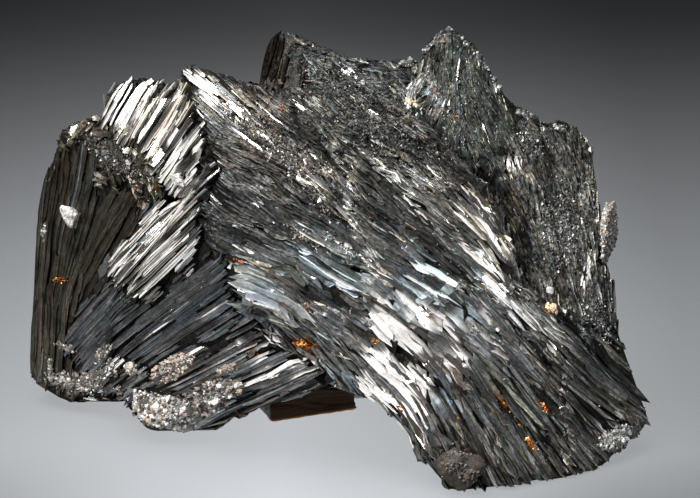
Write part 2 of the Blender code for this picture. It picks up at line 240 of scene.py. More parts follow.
GRAIN = {
    "wing": part("wing", tint=(0.235, 0.205, 0.165), length=13, width=0.95, clump=4, stretch=6,
        roll=2, stray=0.4, step=0.15, lift=0.1, ridge=0.0, grit=0.3,
        spots=[(60, 180, 80), (48, 250, 85), (47, 320, 88), (85, 220, 72), (70, 285, 74),
               (52, 375, 84), (112, 225, 58), (60, 140, 80), (92, 265, 58), (125, 212, 52)]),
    "wing_crown": part("wing_crown", tint=(0.22, 0.2, 0.17), length=2.2, width=1.2, cover=2.4,
        clump=1.6, stretch=1, roll=28, stray=30, step=0.6, wave=0, taper=0.5, ridge=0.12,
        catch=0.03, grit=0.8,
        spots=[(80, 130, 30), (105, 145, -20), (128, 163, -35), (144, 180, -40)]),
    # Painted highlight: the tips' pale tint stands for the key light's glint on them.
    "pale_tips": part("pale_tips", tint=(0.68, 0.645, 0.61), length=12, width=0.5, cover=3.9,
        clump=1.2, stretch=6, stray=0.8, step=0.35, taper=0.0, ridge=0.05, catch=0.06, proud=0.3,
        grit=0.2,
        spots=[(125, 100, 58), (150, 105, 58), (178, 105, 58), (155, 140, 56), (182, 140, 50),
               (125, 130, 60), (168, 168, 55), (192, 168, 44), (110, 96, 60), (108, 112, 60),
               (117, 85, 58)]),
    # Painted highlight: the pale tint of the fan's top stands for the glint along its laths.
    "fan_top": part("fan_top", tint=(0.68, 0.655, 0.63), length=20, width=0.36, cover=3.9,
        clump=1.0, stretch=9, roll=10, stray=0.4, step=0.2, lift=0.1, ridge=0.05, catch=0.1,
        proud=0.7, grit=0.2,
        spots=[(122, 272, 47), (128, 262, 47), (150, 268, 44), (168, 220, 45), (188, 205, 45),
               (205, 182, 44), (180, 245, 42), (150, 282, 41)]),
    "fan_middle": part("fan", tint=(0.285, 0.292, 0.305), length=15, width=0.44, cover=3.2,
        clump=2.6, roll=4, stray=0.4, step=0.18, lift=0.05, ridge=0.04, grit=0.3,
        spots=[(122, 338, 39), (180, 300, 34), (220, 270, 37), (160, 345, 33), (210, 322, 32),
               (150, 320, 36), (116, 302, 43), (95, 322, 45), (86, 345, 48)]),
    "fan_low": part("fan_low", tint=(0.33, 0.325, 0.32), length=13, width=0.52, cover=2.8,
        clump=1.8, roll=10, stray=0.6, step=0.45, lift=0.1, ridge=0.05, catch=0.05, proud=0.1,
        grit=0.4,
        spots=[(112, 376, 40), (130, 380, 34), (190, 365, 28), (250, 365, 26), (300, 370, 26),
               (240, 390, 25), (185, 395, 26), (245, 347, 28)]),
    "ridge_head": part("slope", tint=(0.34, 0.315, 0.295), length=6, width=0.5, clump=1.2, stray=1,
        wave=0.05, taper=0.5, catch=0.03, grit=0.3,
        spots=[(200, 85, -37), (222, 92, -42)]),
    "ridge": part("slope", tint=(0.2, 0.183, 0.17), length=3.2, width=0.42, clump=1.1, stretch=4,
        roll=11, stray=4, lift=0.4, wave=0.14, taper=0.8, grit=0.9,
        spots=[(245, 112, -45), (275, 125, -42), (300, 155, -46), (235, 150, -26), (280, 180, -40)]),
    "back_peak": part("back_peak", tint=(0.085, 0.07, 0.058), length=7, width=1.0, cover=2.4,
        clump=4, stretch=3, roll=2, stray=1, step=0.1, lift=0.05, taper=0.2, grit=1,
        spots=[(278, 55, -105), (270, 80, -105), (290, 70, -100)]),
    "back_slope": part("back_slope", tint=(0.235, 0.235, 0.23), length=1.6, width=0.6, depth=1.0,
        cover=2.6, clump=1.2, stretch=1.5, roll=16, stray=25, wave=0, taper=0.6, grit=1,
        spots=[(320, 62, -20), (360, 75, -15), (395, 80, -20), (300, 45, -30)]),
    "seam": part("slope", tint=(0.2, 0.2, 0.2), length=3.8, width=0.42, depth=1.0, clump=1.8,
        stretch=3, roll=9, stray=4, step=0.45, lift=0.4, wave=0.2, taper=0.8, ridge=0.05,
        catch=0.01, grit=0.8,
        spots=[(225, 195, -36), (228, 240, -24), (255, 215, -32), (300, 225, -30), (240, 175, -34)]),
    "crown": part("slope", tint=(0.205, 0.196, 0.186), length=2.3, width=0.4, depth=1.0, clump=1.2,
        stretch=2.5, roll=14, stray=8, lift=0.4, wave=0.08, taper=0.8, ridge=0.04, grit=1,
        spots=[(320, 100, -42), (360, 110, -42), (400, 120, -34), (340, 140, -40), (430, 160, -40),
               (380, 150, -42)]),
    "slope": part("slope", tint=(0.45, 0.438, 0.42), length=4.8, width=0.52, depth=1.1, cover=3.2,
        clump=1.5, stretch=3.5, roll=15, stray=4, step=0.6, lift=0.6, wave=0.24, taper=0.9,
        ridge=0.06, catch=0.01, grit=0.6,
        spots=[(330, 185, -46), (370, 195, -42), (410, 190, -38), (320, 250, -32), (370, 240, -36),
               (420, 230, -38), (260, 275, -26), (300, 300, -42), (350, 290, -34), (330, 345, -40),
               (290, 335, -40), (450, 240, -40)]),
    # Painted reflection: the blue tint of these plates stands for bluish light reflected in them.
    "blue_reflection_plates": part("slope", tint=(0.54, 0.61, 0.65), length=6.5, width=1.9, depth=1.0,
        cover=2.6, clump=3.2, stretch=2.5, roll=7, stray=1.5, step=0.3, wave=0.08, taper=0.4,
        ridge=0.02, grit=0.25,
        spots=[(262, 290, -20), (318, 262, -35), (345, 280, -30), (425, 283, -30), (465, 315, -42),
               (240, 275, -15)]),
    # Painted highlight: the pale tint of these plates stands for the key light's glint on them.
    "bright_plates": part("slope", tint=(0.63, 0.575, 0.545), length=8, width=1.6, depth=1.1,
        clump=3.4, stretch=3, roll=6, stray=0.5, step=0.22, wave=0.03, taper=0.3, ridge=0.02,
        catch=0.38, grit=0.3,
        spots=[(395, 318, -46), (430, 328, -46), (456, 350, -48), (398, 358, -42), (420, 378, -46)]),
    # Painted highlight: the pale tint of the streaks stands for glints along them.
    "streaks": part("slope", tint=(0.6, 0.565, 0.535), length=5, width=0.55, depth=1.1, clump=1.4,
        stray=1.5, step=0.5, lift=0.5, wave=0.16, taper=0.7, ridge=0.06, catch=0.06, grit=0.4,
        spots=[(490, 210, -50), (505, 240, -60)]),
    "lower_slope": part("slope", tint=(0.46, 0.445, 0.425), length=5.2, width=0.58, clump=1.8,
        stretch=3.5, stray=3.5, step=0.6, lift=0.6, wave=0.2, taper=0.9, ridge=0.06, catch=0.04,
        grit=0.5,
        spots=[(470, 290, -44), (510, 300, -45), (545, 330, -40), (490, 340, -41), (380, 380, -42),
               (360, 360, -42)]),
    "foot": part("slope", tint=(0.245, 0.232, 0.216), length=9, width=0.8, depth=1.6, cover=3.4,
        clump=1.7, stretch=6, roll=13, stray=2.5, step=0.9, lift=0.4, wave=0.14, taper=0.4,
        ridge=0.08, catch=0.02, grit=0.5,
        spots=[(436, 400, -60), (440, 420, -62), (480, 400, -58), (520, 400, -52), (560, 395, -46),
               (600, 390, -42), (625, 420, -43), (480, 455, -60), (520, 455, -62), (570, 455, -48),
               (450, 465, -70), (600, 350, -46), (560, 360, -46)]),
    "tall_peak": part("tall_peak", tint=(0.25, 0.265, 0.248), length=2.4, width=0.42, depth=1.1,
        clump=1.8, stretch=3, roll=11, stray=7, step=0.3, lift=0.3, wave=0.06, taper=0.8, grit=0.7,
        spots=[(447, 50, 92), (430, 80, 75), (460, 80, 104), (485, 110, 118), (420, 110, 66),
               (450, 130, 96), (485, 150, 115)]),
    "pale_flank": part("tall_peak", tint=(0.42, 0.385, 0.375), length=2.6, width=0.8, depth=1.0,
        cover=2.6, clump=1.6, stretch=1.6, stray=6, step=0.3, wave=0.05, taper=0.6, grit=1,
        spots=[(420, 82, 62), (434, 104, 60)]),
    "shoulder": part("shoulder", tint=(0.31, 0.297, 0.277), length=2, width=0.45, depth=1.1,
        cover=2.8, clump=1.6, stretch=2.5, roll=14, stray=7, step=0.5, lift=0.3, wave=0.04,
        taper=0.7, ridge=0.04, catch=0.01, grit=1,
        spots=[(530, 160, 108), (560, 170, 102), (588, 170, 97), (535, 220, 108), (570, 240, 104),
               (603, 250, 96), (590, 300, 100), (560, 290, 110)]),
}

# The same for what the camera doesn't see, with spots as a point near the surface, in millimetres,
# and the way its grain runs.
HIDDEN_GRAIN = {
    "back": part("back", tint=(0.26, 0.255, 0.25), length=11, width=1.1, depth=1.4, cover=2.2,
        clump=2.2, roll=14, stray=2, step=1.0, lift=0.4, wave=0.12, taper=0.5, ridge=0.07,
        catch=0.08, grit=0.5,
        spots=[((-10, 28, 10), (-0.12, 0, 1)), ((2, 28, 12), (0.1, 0, 1)),
               ((12, 26, 14), (0.32, 0, 1)), ((-16, 26, 32), (-0.35, 0, 1)),
               ((0, 26, 34), (0.05, 0, 1)), ((14, 25, 34), (0.45, 0, 1))]),
    "back_left": part("back_left", tint=(0.24, 0.222, 0.2), length=8, width=0.8, cover=2.3,
        clump=1.6, roll=15, stray=2, step=0.7, lift=0.4, wave=0.06, taper=0.4, ridge=0.06,
        catch=0.1, proud=0.1, grit=0.5,
        spots=[((-46, 18, 14), (0.3, 0, 1)), ((-38, 24, 8), (0.5, 0, 1)),
               ((-26, 26, 12), (0.65, 0, 1)), ((-44, 20, 28), (0.35, 0, 1)),
               ((-34, 25, 30), (0.6, 0, 1)), ((-27, 26, 24), (0.65, 0, 1))]),
    "back_right": part("back_right", tint=(0.29, 0.285, 0.28), length=7, width=0.9, depth=1.3,
        cover=2.3, clump=1.8, stretch=4, roll=15, stray=3, step=0.8, lift=0.5, wave=0.14,
        taper=0.7, ridge=0.07, catch=0.1, proud=0.1, grit=0.6,
        spots=[((23, 24, 8), (-0.5, 0, 1)), ((32, 20, 12), (-0.65, 0, 1)),
               ((42, 8, 16), (-0.4, 0, 1)), ((24, 23, 28), (-0.65, 0, 1)),
               ((34, 18, 30), (-0.75, 0, 1)), ((38, 14, 22), (-0.55, 0, 1))]),
    "back_top": part("back_top", tint=(0.26, 0.25, 0.24), length=4, width=0.9, cover=2.2, clump=2,
        stretch=2, roll=20, stray=8, step=0.5, lift=0.3, wave=0.05, taper=0.5, ridge=0.08,
        catch=0.12, grit=0.7,
        spots=[((-30, 16, 50), (1, 0, 0.4)), ((-12, 18, 52), (1, 0, 0)),
               ((6, 20, 50), (1, 0, 0.2)), ((22, 20, 48), (-0.3, 0, 1)),
               ((34, 16, 44), (-0.3, 0, 1))]),
    "underside": part("underside", tint=(0.15, 0.135, 0.12), length=6, width=1.3, cover=1.6,
        clump=3, stretch=3, roll=14, stray=5, step=0.5, lift=0.1, wave=0.1, taper=0.3, ridge=0.05,
        grit=0.7,
        spots=[((-8, -8, 8), (1, -0.3, 0)), ((6, -10, 10), (1, -0.3, 0)),
               ((20, 0, 8), (1, 0.2, 0)), ((-22, 4, 1), (1, 0, 0)), ((30, -4, 12), (1, 0, 0.2)),
               ((-36, 12, 3), (1, 0, 0))]),
}

# Places of painted light and shade, as across and down in the frame, half length along the grain,
# half breadth across it, grain angle in degrees, and strength: painted highlights, hollows with
# painted shade, painted orange glints and painted blue reflections.
HIGHLIGHT_PLACES = [
    (122, 99, 26, 19, 58, 1.6), (113, 118, 10, 8, 60, 1.4), (138, 112, 14, 5, 58, 0.8),
    (159, 137, 27, 4, 56, 0.6), (175, 163, 30, 5, 55, 1.1), (195, 173, 26, 4, 40, 1.1),
    (165, 208, 27, 7, 48, 1.1), (166, 223, 19, 4, 38, 0.9), (148, 252, 18, 6, 50, 0.95),
    (122, 268, 16, 8, 47, 0.6), (135, 240, 30, 6, 48, 0.55), (180, 196, 20, 5, 45, 0.8),
    (214, 308, 20, 6, 34, 0.5), (160, 328, 15, 2, 30, 0.7), (222, 318, 12, 3, 30, 0.9),
    (212, 343, 28, 2, 27, 0.95), (222, 351, 22, 2, 25, 0.8), (236, 350, 10, 3, 27, 0.9),
    (303, 365, 14, 7, 26, 1.15), (262, 381, 22, 4, 26, 0.8), (268, 350, 14, 10, 26, 0.45),
    (240, 347, 3, 12, 0, 0.7), (206, 88, 28, 7, -38, 1.15), (240, 108, 22, 4, -45, 0.4),
    (302, 230, 12, 5, -40, 0.4), (345, 242, 20, 5, -32, 0.4), (370, 260, 20, 5, -34, 0.3),
    (402, 329, 37, 9, -47, 0.95), (414, 312, 22, 8, -46, 0.9), (448, 332, 34, 8, -46, 0.45),
    (467, 352, 11, 6, -55, 1.2), (455, 363, 12, 5, -30, 1.1), (409, 373, 23, 9, -40, 1.35),
    (389, 377, 37, 5, -45, 1.3), (383, 353, 20, 4, -35, 1.1), (484, 310, 14, 5, -50, 0.6),
    (405, 400, 26, 4, -52, 0.7), (490, 234, 26, 5, -56, 0.65), (512, 262, 14, 4, -60, 0.5),
    (465, 215, 30, 5, -40, 0.3), (520, 312, 40, 5, -42, 0.6), (606, 430, 12, 5, -50, 1.1),
    (588, 268, 18, 4, -110, 0.9), (512, 163, 9, 6, -30, 1.1), (412, 108, 12, 3, -24, 0.6),
    (545, 195, 9, 5, -30, 0.5), (360, 78, 10, 4, -25, 0.5), (550, 345, 30, 5, -42, 0.5),
    (350, 330, 24, 4, -38, 0.3), (555, 306, 16, 4, -36, 0.8),
]
HOLLOW_PLACES = [
    (188, 160, 9, 6, 52, 1.0), (171, 236, 15, 4, 42, 0.7), (193, 229, 20, 3, 47, 0.7),
    (133, 279, 10, 4, 38, 0.8), (199, 329, 28, 4, 28, 1.0), (208, 353, 20, 2, 26, 0.8),
    (262, 318, 16, 8, -50, 0.8), (165, 150, 8, 5, -50, 0.8), (350, 265, 40, 4, -28, 0.9),
    (340, 305, 40, 5, -28, 0.8), (362, 332, 20, 6, -40, 0.9), (400, 352, 28, 2, -16, 0.8),
    (470, 180, 45, 9, -38, 0.7), (525, 235, 40, 8, -60, 0.9), (560, 315, 30, 6, -45, 0.8),
    (600, 355, 26, 6, -45, 0.9), (380, 215, 30, 6, -35, 0.6), (330, 215, 22, 4, -32, 0.6),
    (440, 245, 30, 4, -40, 0.7), (450, 300, 36, 3, -42, 0.6), (480, 360, 40, 3, -55, 0.8),
    (510, 420, 46, 3, -58, 0.8), (545, 400, 46, 3, -55, 0.7), (465, 430, 36, 3, -65, 0.8),
    (575, 420, 36, 3, -52, 0.7), (158, 394, 12, 8, 10, 1.0), (105, 340, 16, 6, 40, 0.5),
    (300, 130, 12, 6, -60, 0.7), (335, 165, 16, 5, -35, 0.5), (385, 222, 40, 10, -35, 0.4),
    (430, 255, 30, 7, -38, 0.4), (245, 330, 8, 8, 30, 0.7), (400, 135, 60, 4, -28, 0.5),
]
ORANGE_GLINT_PLACES = [
    (135, 190, 6, 3, 62, 0.8), (154, 190, 6, 3, 62, 0.8), (249, 302, 6, 4, -30, 0.8),
    (304, 344, 15, 6, -15, 0.9), (308, 306, 6, 3, -45, 0.5), (240, 262, 10, 3, -20, 0.4),
    (253, 352, 6, 6, 0, 0.4), (375, 341, 9, 3, -12, 0.5), (458, 420, 9, 3, -75, 1.0),
    (399, 407, 5, 2.5, -50, 0.8), (505, 405, 10, 3, -60, 0.4), (530, 442, 12, 3, -60, 0.6),
    (520, 425, 4, 2.5, -60, 0.7), (550, 312, 8, 3, -35, 0.6), (487, 203, 8, 3, -50, 0.9),
    (543, 407, 10, 3, -55, 0.6), (455, 118, 6, 3, 0, 0.4), (62, 279, 11, 6, 0, 0.35),
    (282, 108, 6, 4, -40, 0.3),
]
BLUE_REFLECTION_PLACES = [
    (262, 290, 15, 9, -20, 1.0), (318, 262, 26, 7, -35, 0.9), (345, 280, 26, 6, -30, 0.7),
    (425, 283, 26, 8, -30, 0.9), (465, 315, 16, 6, -42, 0.7), (240, 275, 12, 8, -10, 0.5),
    (505, 300, 10, 7, -50, 0.6), (432, 395, 16, 5, -55, 0.7), (320, 335, 18, 5, -30, 0.6),
    (118, 332, 14, 7, 45, 0.45), (450, 400, 26, 6, -60, 0.5), (348, 375, 16, 6, -20, 0.5),
    (440, 105, 30, 5, -70, 0.4), (430, 92, 6, 5, 0, 0.4), (470, 150, 24, 6, -30, 0.3),
]
STYLE_KEYS = ("length", "width", "depth", "cover", "clump", "stretch", "roll", "stray", "step",
              "lift", "wave", "taper", "ridge", "catch", "proud", "grit")

KEY_LIGHT = Vector((-0.42, -0.50, 0.62))  # towards the key light
SIGHT = np.array(CAMERA.matrix_world.to_3x3())  # columns: right, up, towards the camera
SPOT_REACH = 2.0 * MM  # within this distance spots no longer gain weight much
POINTS_AT_ONCE = 3000
LEAST_FACING = 0.3  # where the surface faces the camera less, its grain counts as this
MOST_TOWARDS = 1.5


def read_spots():
    """Places, grain and part number of every spot, sitting on the guide surface.

    Spots given in the frame keep their grain as right and up shares, hidden ones as a direction."""
    places, grains, owners = [], [], []
    for number, form in enumerate(GRAIN.values()):
        for x, y, angle in form["spots"]:
            start, ray = pixel_ray(x, y)
            hit = GUIDE_TREE.ray_cast(start, ray)[0]
            if hit is None:
                hit = GUIDE_TREE.find_nearest(start + ray * CAMERA_DISTANCE)[0]
            places.append(hit)
            grains.append((math.cos(math.radians(angle)), math.sin(math.radians(angle)), 0.0))
            owners.append(number)
    for number, form in enumerate(HIDDEN_GRAIN.values(), len(GRAIN)):
        for point, way in form["spots"]:
            places.append(GUIDE_TREE.find_nearest(Vector(point) * MM)[0])
            grains.append(way)
            owners.append(number)
    return np.array(places), unit(np.array(grains, float)), np.array(owners)


SPOT_PLACE, SPOT_GRAIN, SPOT_OWNER = read_spots()
SPOT_NORMAL = GUIDE_NORMAL[drop(SPOT_PLACE)[1]]
PARTS = list(GRAIN.values()) + list(HIDDEN_GRAIN.values())
PART_NAMES = list(GRAIN) + list(HIDDEN_GRAIN)
PART_STYLE = np.array([[form[key] for key in STYLE_KEYS] for form in PARTS], float)
PART_TINT = np.array([form["tint"] for form in PARTS], float)
FAMILIES = sorted({form["family"] for form in PARTS})
PART_FAMILY = np.array([FAMILIES.index(form["family"]) for form in PARTS])
SPOT_FAMILY = PART_FAMILY[SPOT_OWNER]


def spot_gaps(points, normals):
    """Squared distance to each spot, counted up to nine times where the surfaces face apart."""
    gap = ((points[:, None] - SPOT_PLACE[None]) ** 2).sum(-1)
    return gap * (2 - normals @ SPOT_NORMAL.T) ** 2


def in_pieces(work):
    """Makes a function run over its arrays a piece at a time, and joins what it returns."""
    def run(*values):
        """Joins the work on each piece of the arrays; values that are no arrays stay whole."""
        results = []
        for start in range(0, len(values[0]), POINTS_AT_ONCE):
            piece = slice(start, start + POINTS_AT_ONCE)
            results.append(work(*[v[piece] if isinstance(v, np.ndarray) else v for v in values]))
        return np.concatenate(results)
    return run


@in_pieces
def owners_of(points, normals):
    """Part of the nearest spot."""
    return SPOT_OWNER[spot_gaps(points, normals).argmin(1)]


GUIDE_FAMILY = PART_FAMILY[owners_of(GUIDE_CENTRE, GUIDE_NORMAL)]


def weights_of(points, normals, family):
    """Share of each spot of the point's own family, by the inverse fourth power of distance."""
    weight = (spot_gaps(points, normals) + SPOT_REACH ** 2) ** -2.0
    weight *= SPOT_FAMILY[None] == family[:, None]
    return weight / weight.sum(1, keepdims=True)


@in_pieces
def mean_look(points, normals, family):
    """Style values and tint: the mean over the spots of the point's family, by their weights."""
    weight = weights_of(points, normals, family)
    return np.hstack([weight @ PART_STYLE[SPOT_OWNER], weight @ PART_TINT[SPOT_OWNER]])


def look_at(points, normals, family):
    """Look of the laths at each point: a value for each of the style keys, and the tint."""
    values = mean_look(points, normals, family)
    return SimpleNamespace(**dict(zip(STYLE_KEYS, values.T)), tint=values[:, len(STYLE_KEYS):])


def chosen(values, kept):
    """The same set of arrays with only the rows kept, in that order."""
    return SimpleNamespace(**{key: value[kept] for key, value in vars(values).items()})


@in_pieces
def grain_at(points, normals, family):
    """Grain direction in the surface.

    For parts seen in the frame the grain is right * a + up * b + towards * t, where t lays it in
    the surface: t = -(a right.n + b up.n) / towards.n, kept within MOST_TOWARDS."""
    grain = weights_of(points, normals, family) @ SPOT_GRAIN
    flat = unit(grain[:, :2]) @ SIGHT[:, :2].T
    facing = np.maximum(normals @ SIGHT[:, 2], LEAST_FACING)
    toward = np.clip(-(flat * normals).sum(1) / facing, -MOST_TOWARDS, MOST_TOWARDS)
    seen = flat + toward[:, None] * SIGHT[:, 2]
    hidden = np.isin(family, PART_FAMILY[len(GRAIN):])
    way = np.where(hidden[:, None], grain, seen)
    return unit(way - normals * dot(way, normals))


def to_frame(points):
    """Across and down in the frame."""
    local = (points - np.array(CAMERA.location)) @ SIGHT
    scale = FRAME_WIDTH * LENS / SENSOR
    return (FRAME_WIDTH / 2 - local[:, 0] / local[:, 2] * scale,
            FRAME_HEIGHT / 2 + local[:, 1] / local[:, 2] * scale)


def strength_of(places, points, normals):
    """How strongly the listed places act at points that face the camera.

    Each acts as exp(-(a/A)^4 - (c/C)^4), a along its grain and c across it; the strongest counts."""
    x, y = to_frame(points)
    best = np.zeros(len(points))
    for px, py, half_long, half_broad, angle, strength in places:
        cos, sin = math.cos(math.radians(angle)), math.sin(math.radians(angle))
        along = (x - px) * cos - (y - py) * sin
        across = (x - px) * sin + (y - py) * cos
        value = np.exp(-(along / half_long) ** 4 - (across / half_broad) ** 4)
        best = np.maximum(best, strength * value)
    return best * (normals @ SIGHT[:, 2] > 0)


def turn_about(v, axis, angle):
    """Rodrigues' formula, for arrays of vectors, unit axes and angles."""
    cos, sin = np.cos(angle)[..., None], np.sin(angle)[..., None]
    return v * cos + np.cross(axis, v) * sin + axis * dot(axis, v) * (1 - cos)


def thin_out(points, spacing, family):
    """Keeps points that are at least their own spacing from every earlier one of their family."""
    kept = []
    for i, point in enumerate(points):
        if kept:
            gap = ((points[kept] - point) ** 2).sum(1)
            gap[family[kept] != family[i]] = np.inf
            if gap.min() < spacing[i] ** 2:
                continue
        kept.append(i)
    return np.array(kept)


# ---------------- laths

RING_AT = np.array([0.0, 0.16, 0.38, 0.62, 0.86, 1.0])
RING_FREE = np.array([0, 1, 1, 1, 1, 0])  # rings that may shift along the lath
EVEN_WIDTH = np.array([0.8, 1.0, 1.0, 1.0, 0.95, 0.8])
LENS_WIDTH = np.array([0.25, 0.75, 1.1, 1.05, 0.7, 0.2])
PROFILE = 4  # corners: an edge, the ridge, the other edge and the keel
RIDGE, KEEL = 1, 3
CORNER_ACROSS = np.array([-0.5, 0.0, 0.5, 0.0])
CORNER_EDGE = [0, 1, 1, 0]  # which edge's unevenness a corner takes
CORNER_ROUND = np.array([0.0, 0.5, 1.0, 1.6, 2.2])  # way round the profile, in widths
# Painted light across a lath: a highlight on one edge, shade on the other edge, the keel and the
# ends.
ONE_EDGE_HIGHLIGHT, OTHER_EDGE_PAINTED_LIGHT = (0.8, 1.9), (0.5, 1.2)
KEEL_PAINTED_SHADE = 0.4
END_PAINTED_SHADE = 0.35
MAP_ROOM = 100  # millimetres of the lath map that laths start in by chance
LEAST_TINT, MOST_TINT = 0.01, 0.98


def make_mesh(name, points, faces):
    """A flat-shaded mesh of faces that all have the same number of corners."""
    count, sides = faces.shape
    mesh = bpy.data.meshes.new(name)
    mesh.vertices.add(len(points))
    mesh.vertices.foreach_set("co", points.astype(np.float32).ravel())
    mesh.loops.add(count * sides)
    mesh.loops.foreach_set("vertex_index", faces.astype(np.int32).ravel())
    mesh.polygons.add(count)
    mesh.polygons.foreach_set("loop_start", np.arange(count) * sides)
    mesh.polygons.foreach_set("loop_total", np.full(count, sides))
    mesh.update(calc_edges=True)
    mesh.shade_flat()
    return mesh


def make_piece(name, mesh, material, tint=None):
    """A piece of the specimen, with a tint for each corner of its faces where it has one."""
    if tint is not None:
        colour = mesh.color_attributes.new("tint", "FLOAT_COLOR", "CORNER")
        colour.data.foreach_set("color", tint.ravel())
    mesh.materials.append(material)
    obj = bpy.data.objects.new(name, mesh)
    bpy.context.scene.collection.objects.link(obj)
    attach(obj, "root")
    return obj


def lath_mesh(name, laths, material):
    """Crystal laths in one mesh: a four-cornered profile carried along each lath's line.

    Ring r lies round centre[r]. Its corners are centre -+ side * width / 2, the ridge at centre +
    side * lean * width + out * ridge * width, and the keel at centre - out * depth."""
    centre, width = laths.centre, laths.width
    count, rings = len(centre), len(RING_AT)
    taper = laths.taper[:, None]
    breadth = (EVEN_WIDTH * (1 - taper) + LENS_WIDTH * taper)[..., None] * laths.uneven
    wide = (width[:, None, None] * breadth)[:, :, CORNER_EDGE, None]
    across = np.zeros((count, 1, PROFILE, 1)) + CORNER_ACROSS[None, None, :, None]
    across[:, 0, RIDGE, 0] = laths.lean
    up = np.zeros((count, 1, PROFILE, 1))
    up[:, 0, RIDGE, 0] = laths.ridge * width
    up[:, 0, KEEL, 0] = -laths.depth
    points = centre[:, :, None] + laths.side[:, :, None] * across * wide \
        + laths.out[:, :, None] * up
    for end, inner, slant in ((0, 1, laths.slant[:, 0]), (-1, -2, laths.slant[:, 1])):
        way = unit(centre[:, end] - centre[:, inner])
        points[:, end] += way[:, None] * (across[:, 0] * (slant * width)[:, None, None])
    points[..., 2] = np.maximum(points[..., 2], 0.0)

    # Faces of one lath: a row of four between each two rings, and a cap at either end.
    k = np.arange(PROFILE)
    after = (k + 1) % PROFILE
    ring = np.arange(rings - 1)[:, None] * PROFILE
    rows = np.stack([ring + PROFILE + k, ring + PROFILE + after, ring + after, ring + k], -1)
    caps = np.stack([k, (k + (rings - 1) * PROFILE)[::-1]])
    pattern = np.concatenate([rows.ravel(), caps.ravel()])
    faces = pattern[None] + (np.arange(count) * rings * PROFILE)[:, None]
    mesh = make_mesh(name, points.reshape(-1, 3), faces.reshape(-1, PROFILE))

    # The lath map runs round the profile and along the lath, both in millimetres.
    quad_round = np.tile(np.stack([k, k + 1, k + 1, k], -1).ravel(), rings - 1)
    around = CORNER_ROUND[np.concatenate([quad_round, k, k[::-1]])]
    u = around[None] * (width / MM)[:, None] + RANDOM.random((count, 1)) * MAP_ROOM
    v = RING_AT[pattern // PROFILE][None] * (laths.length / MM)[:, None]
    v = v + RANDOM.random((count, 1)) * MAP_ROOM
    layer = mesh.uv_layers.new(name="lath")
    layer.data.foreach_set("uv", np.stack([u, v], -1).astype(np.float32).ravel())

    # Painted light and shade: one edge often carries a painted highlight, the other edge mostly
    # painted shade, and the keel and the ends painted shade.
    rgba = np.ones((count, len(pattern), 4), np.float32)
    painted_edge_light = np.stack([RANDOM.uniform(*ONE_EDGE_HIGHLIGHT, count), np.ones(count),
                       RANDOM.uniform(*OTHER_EDGE_PAINTED_LIGHT, count), np.full(count, KEEL_PAINTED_SHADE)], 1)
    rgba[..., :3] = laths.tint[:, pattern // PROFILE] * painted_edge_light[:, pattern % PROFILE, None]
    rgba[..., :3] = np.minimum(rgba[..., :3], MOST_TINT)
    rgba[..., 3] = laths.grit[:, None]
    rgba[:, -caps.size:, :3] *= END_PAINTED_SHADE
    make_piece(name, mesh, material, rgba)


# ---------------- materials


def new_material(name):
    """A material, its nodes and its shader."""
    material = bpy.data.materials.new(name)
    material.use_nodes = True
    tree = material.node_tree
    return material, tree, tree.nodes["Principled BSDF"]


def add(tree, kind, **settings):
    """A node, with its properties or inputs set by name."""
    node = tree.nodes.new(kind)
    for key, value in settings.items():
        if key in node.inputs:
            node.inputs[key].default_value = value
        else:
            setattr(node, key, value)
    return node


def span(tree, value, low, high, start, end):
    """Maps values between low and high to between start and end."""
    node = add(tree, "ShaderNodeMapRange")
    for name, number in (("From Min", low), ("From Max", high), ("To Min", start), ("To Max", end)):
        node.inputs[name].default_value = number
    tree.links.new(value, node.inputs["Value"])
    return node.outputs["Result"]


def combine(tree, operation, *values):
    """A sum, product and so on of values from left to right, each a socket or a number."""
    result = values[0]
    for value in values[1:]:
        node = add(tree, "ShaderNodeMath", operation=operation)
        for socket, term in zip(node.inputs, (result, value)):
            if isinstance(term, (int, float)):
                socket.default_value = term
            else:
                tree.links.new(term, socket)
        result = node.outputs["Value"]
    return result


def noise(tree, vector, scale, detail, roughness):
    """Strength of a noise over a vector."""
    node = add(tree, "ShaderNodeTexNoise", Scale=scale, Detail=detail, Roughness=roughness)
    tree.links.new(vector, node.inputs["Vector"])
    return node.outputs["Fac"]


def scaled(tree, colour, level):
    """A colour times a level."""
    node = add(tree, "ShaderNodeVectorMath", operation="SCALE")
    tree.links.new(colour, node.inputs[0])
    tree.links.new(level, node.inputs["Scale"])
    return node.outputs["Vector"]


def emboss(tree, shader, height, distance):
    """Relief from a height, up to a distance in metres."""
    bump = add(tree, "ShaderNodeBump", Strength=RELIEF_STRENGTH, Distance=distance)
    tree.links.new(height, bump.inputs["Height"])
    tree.links.new(bump.outputs["Normal"], shader.inputs["Normal"])


RELIEF_STRENGTH = 0.6
STRIAE_STRETCH = (3.4, 0.16, 1.0)
SPECK_DEPTH = 0.6
# Pale tints turn into a painted highlight: solid, mostly diffuse and pale, standing for the key
# light's glint.
HIGHLIGHT_FROM, HIGHLIGHT_TO = 0.6, 0.9
HIGHLIGHT_SOLID = 0.5
HIGHLIGHT_METALLIC = 0.25
GRIT_RELIEF = 0.4
GRIT_DULLS = 0.2
STEEL_SHINE = (0.6, 0.59, 0.57, 1.0)


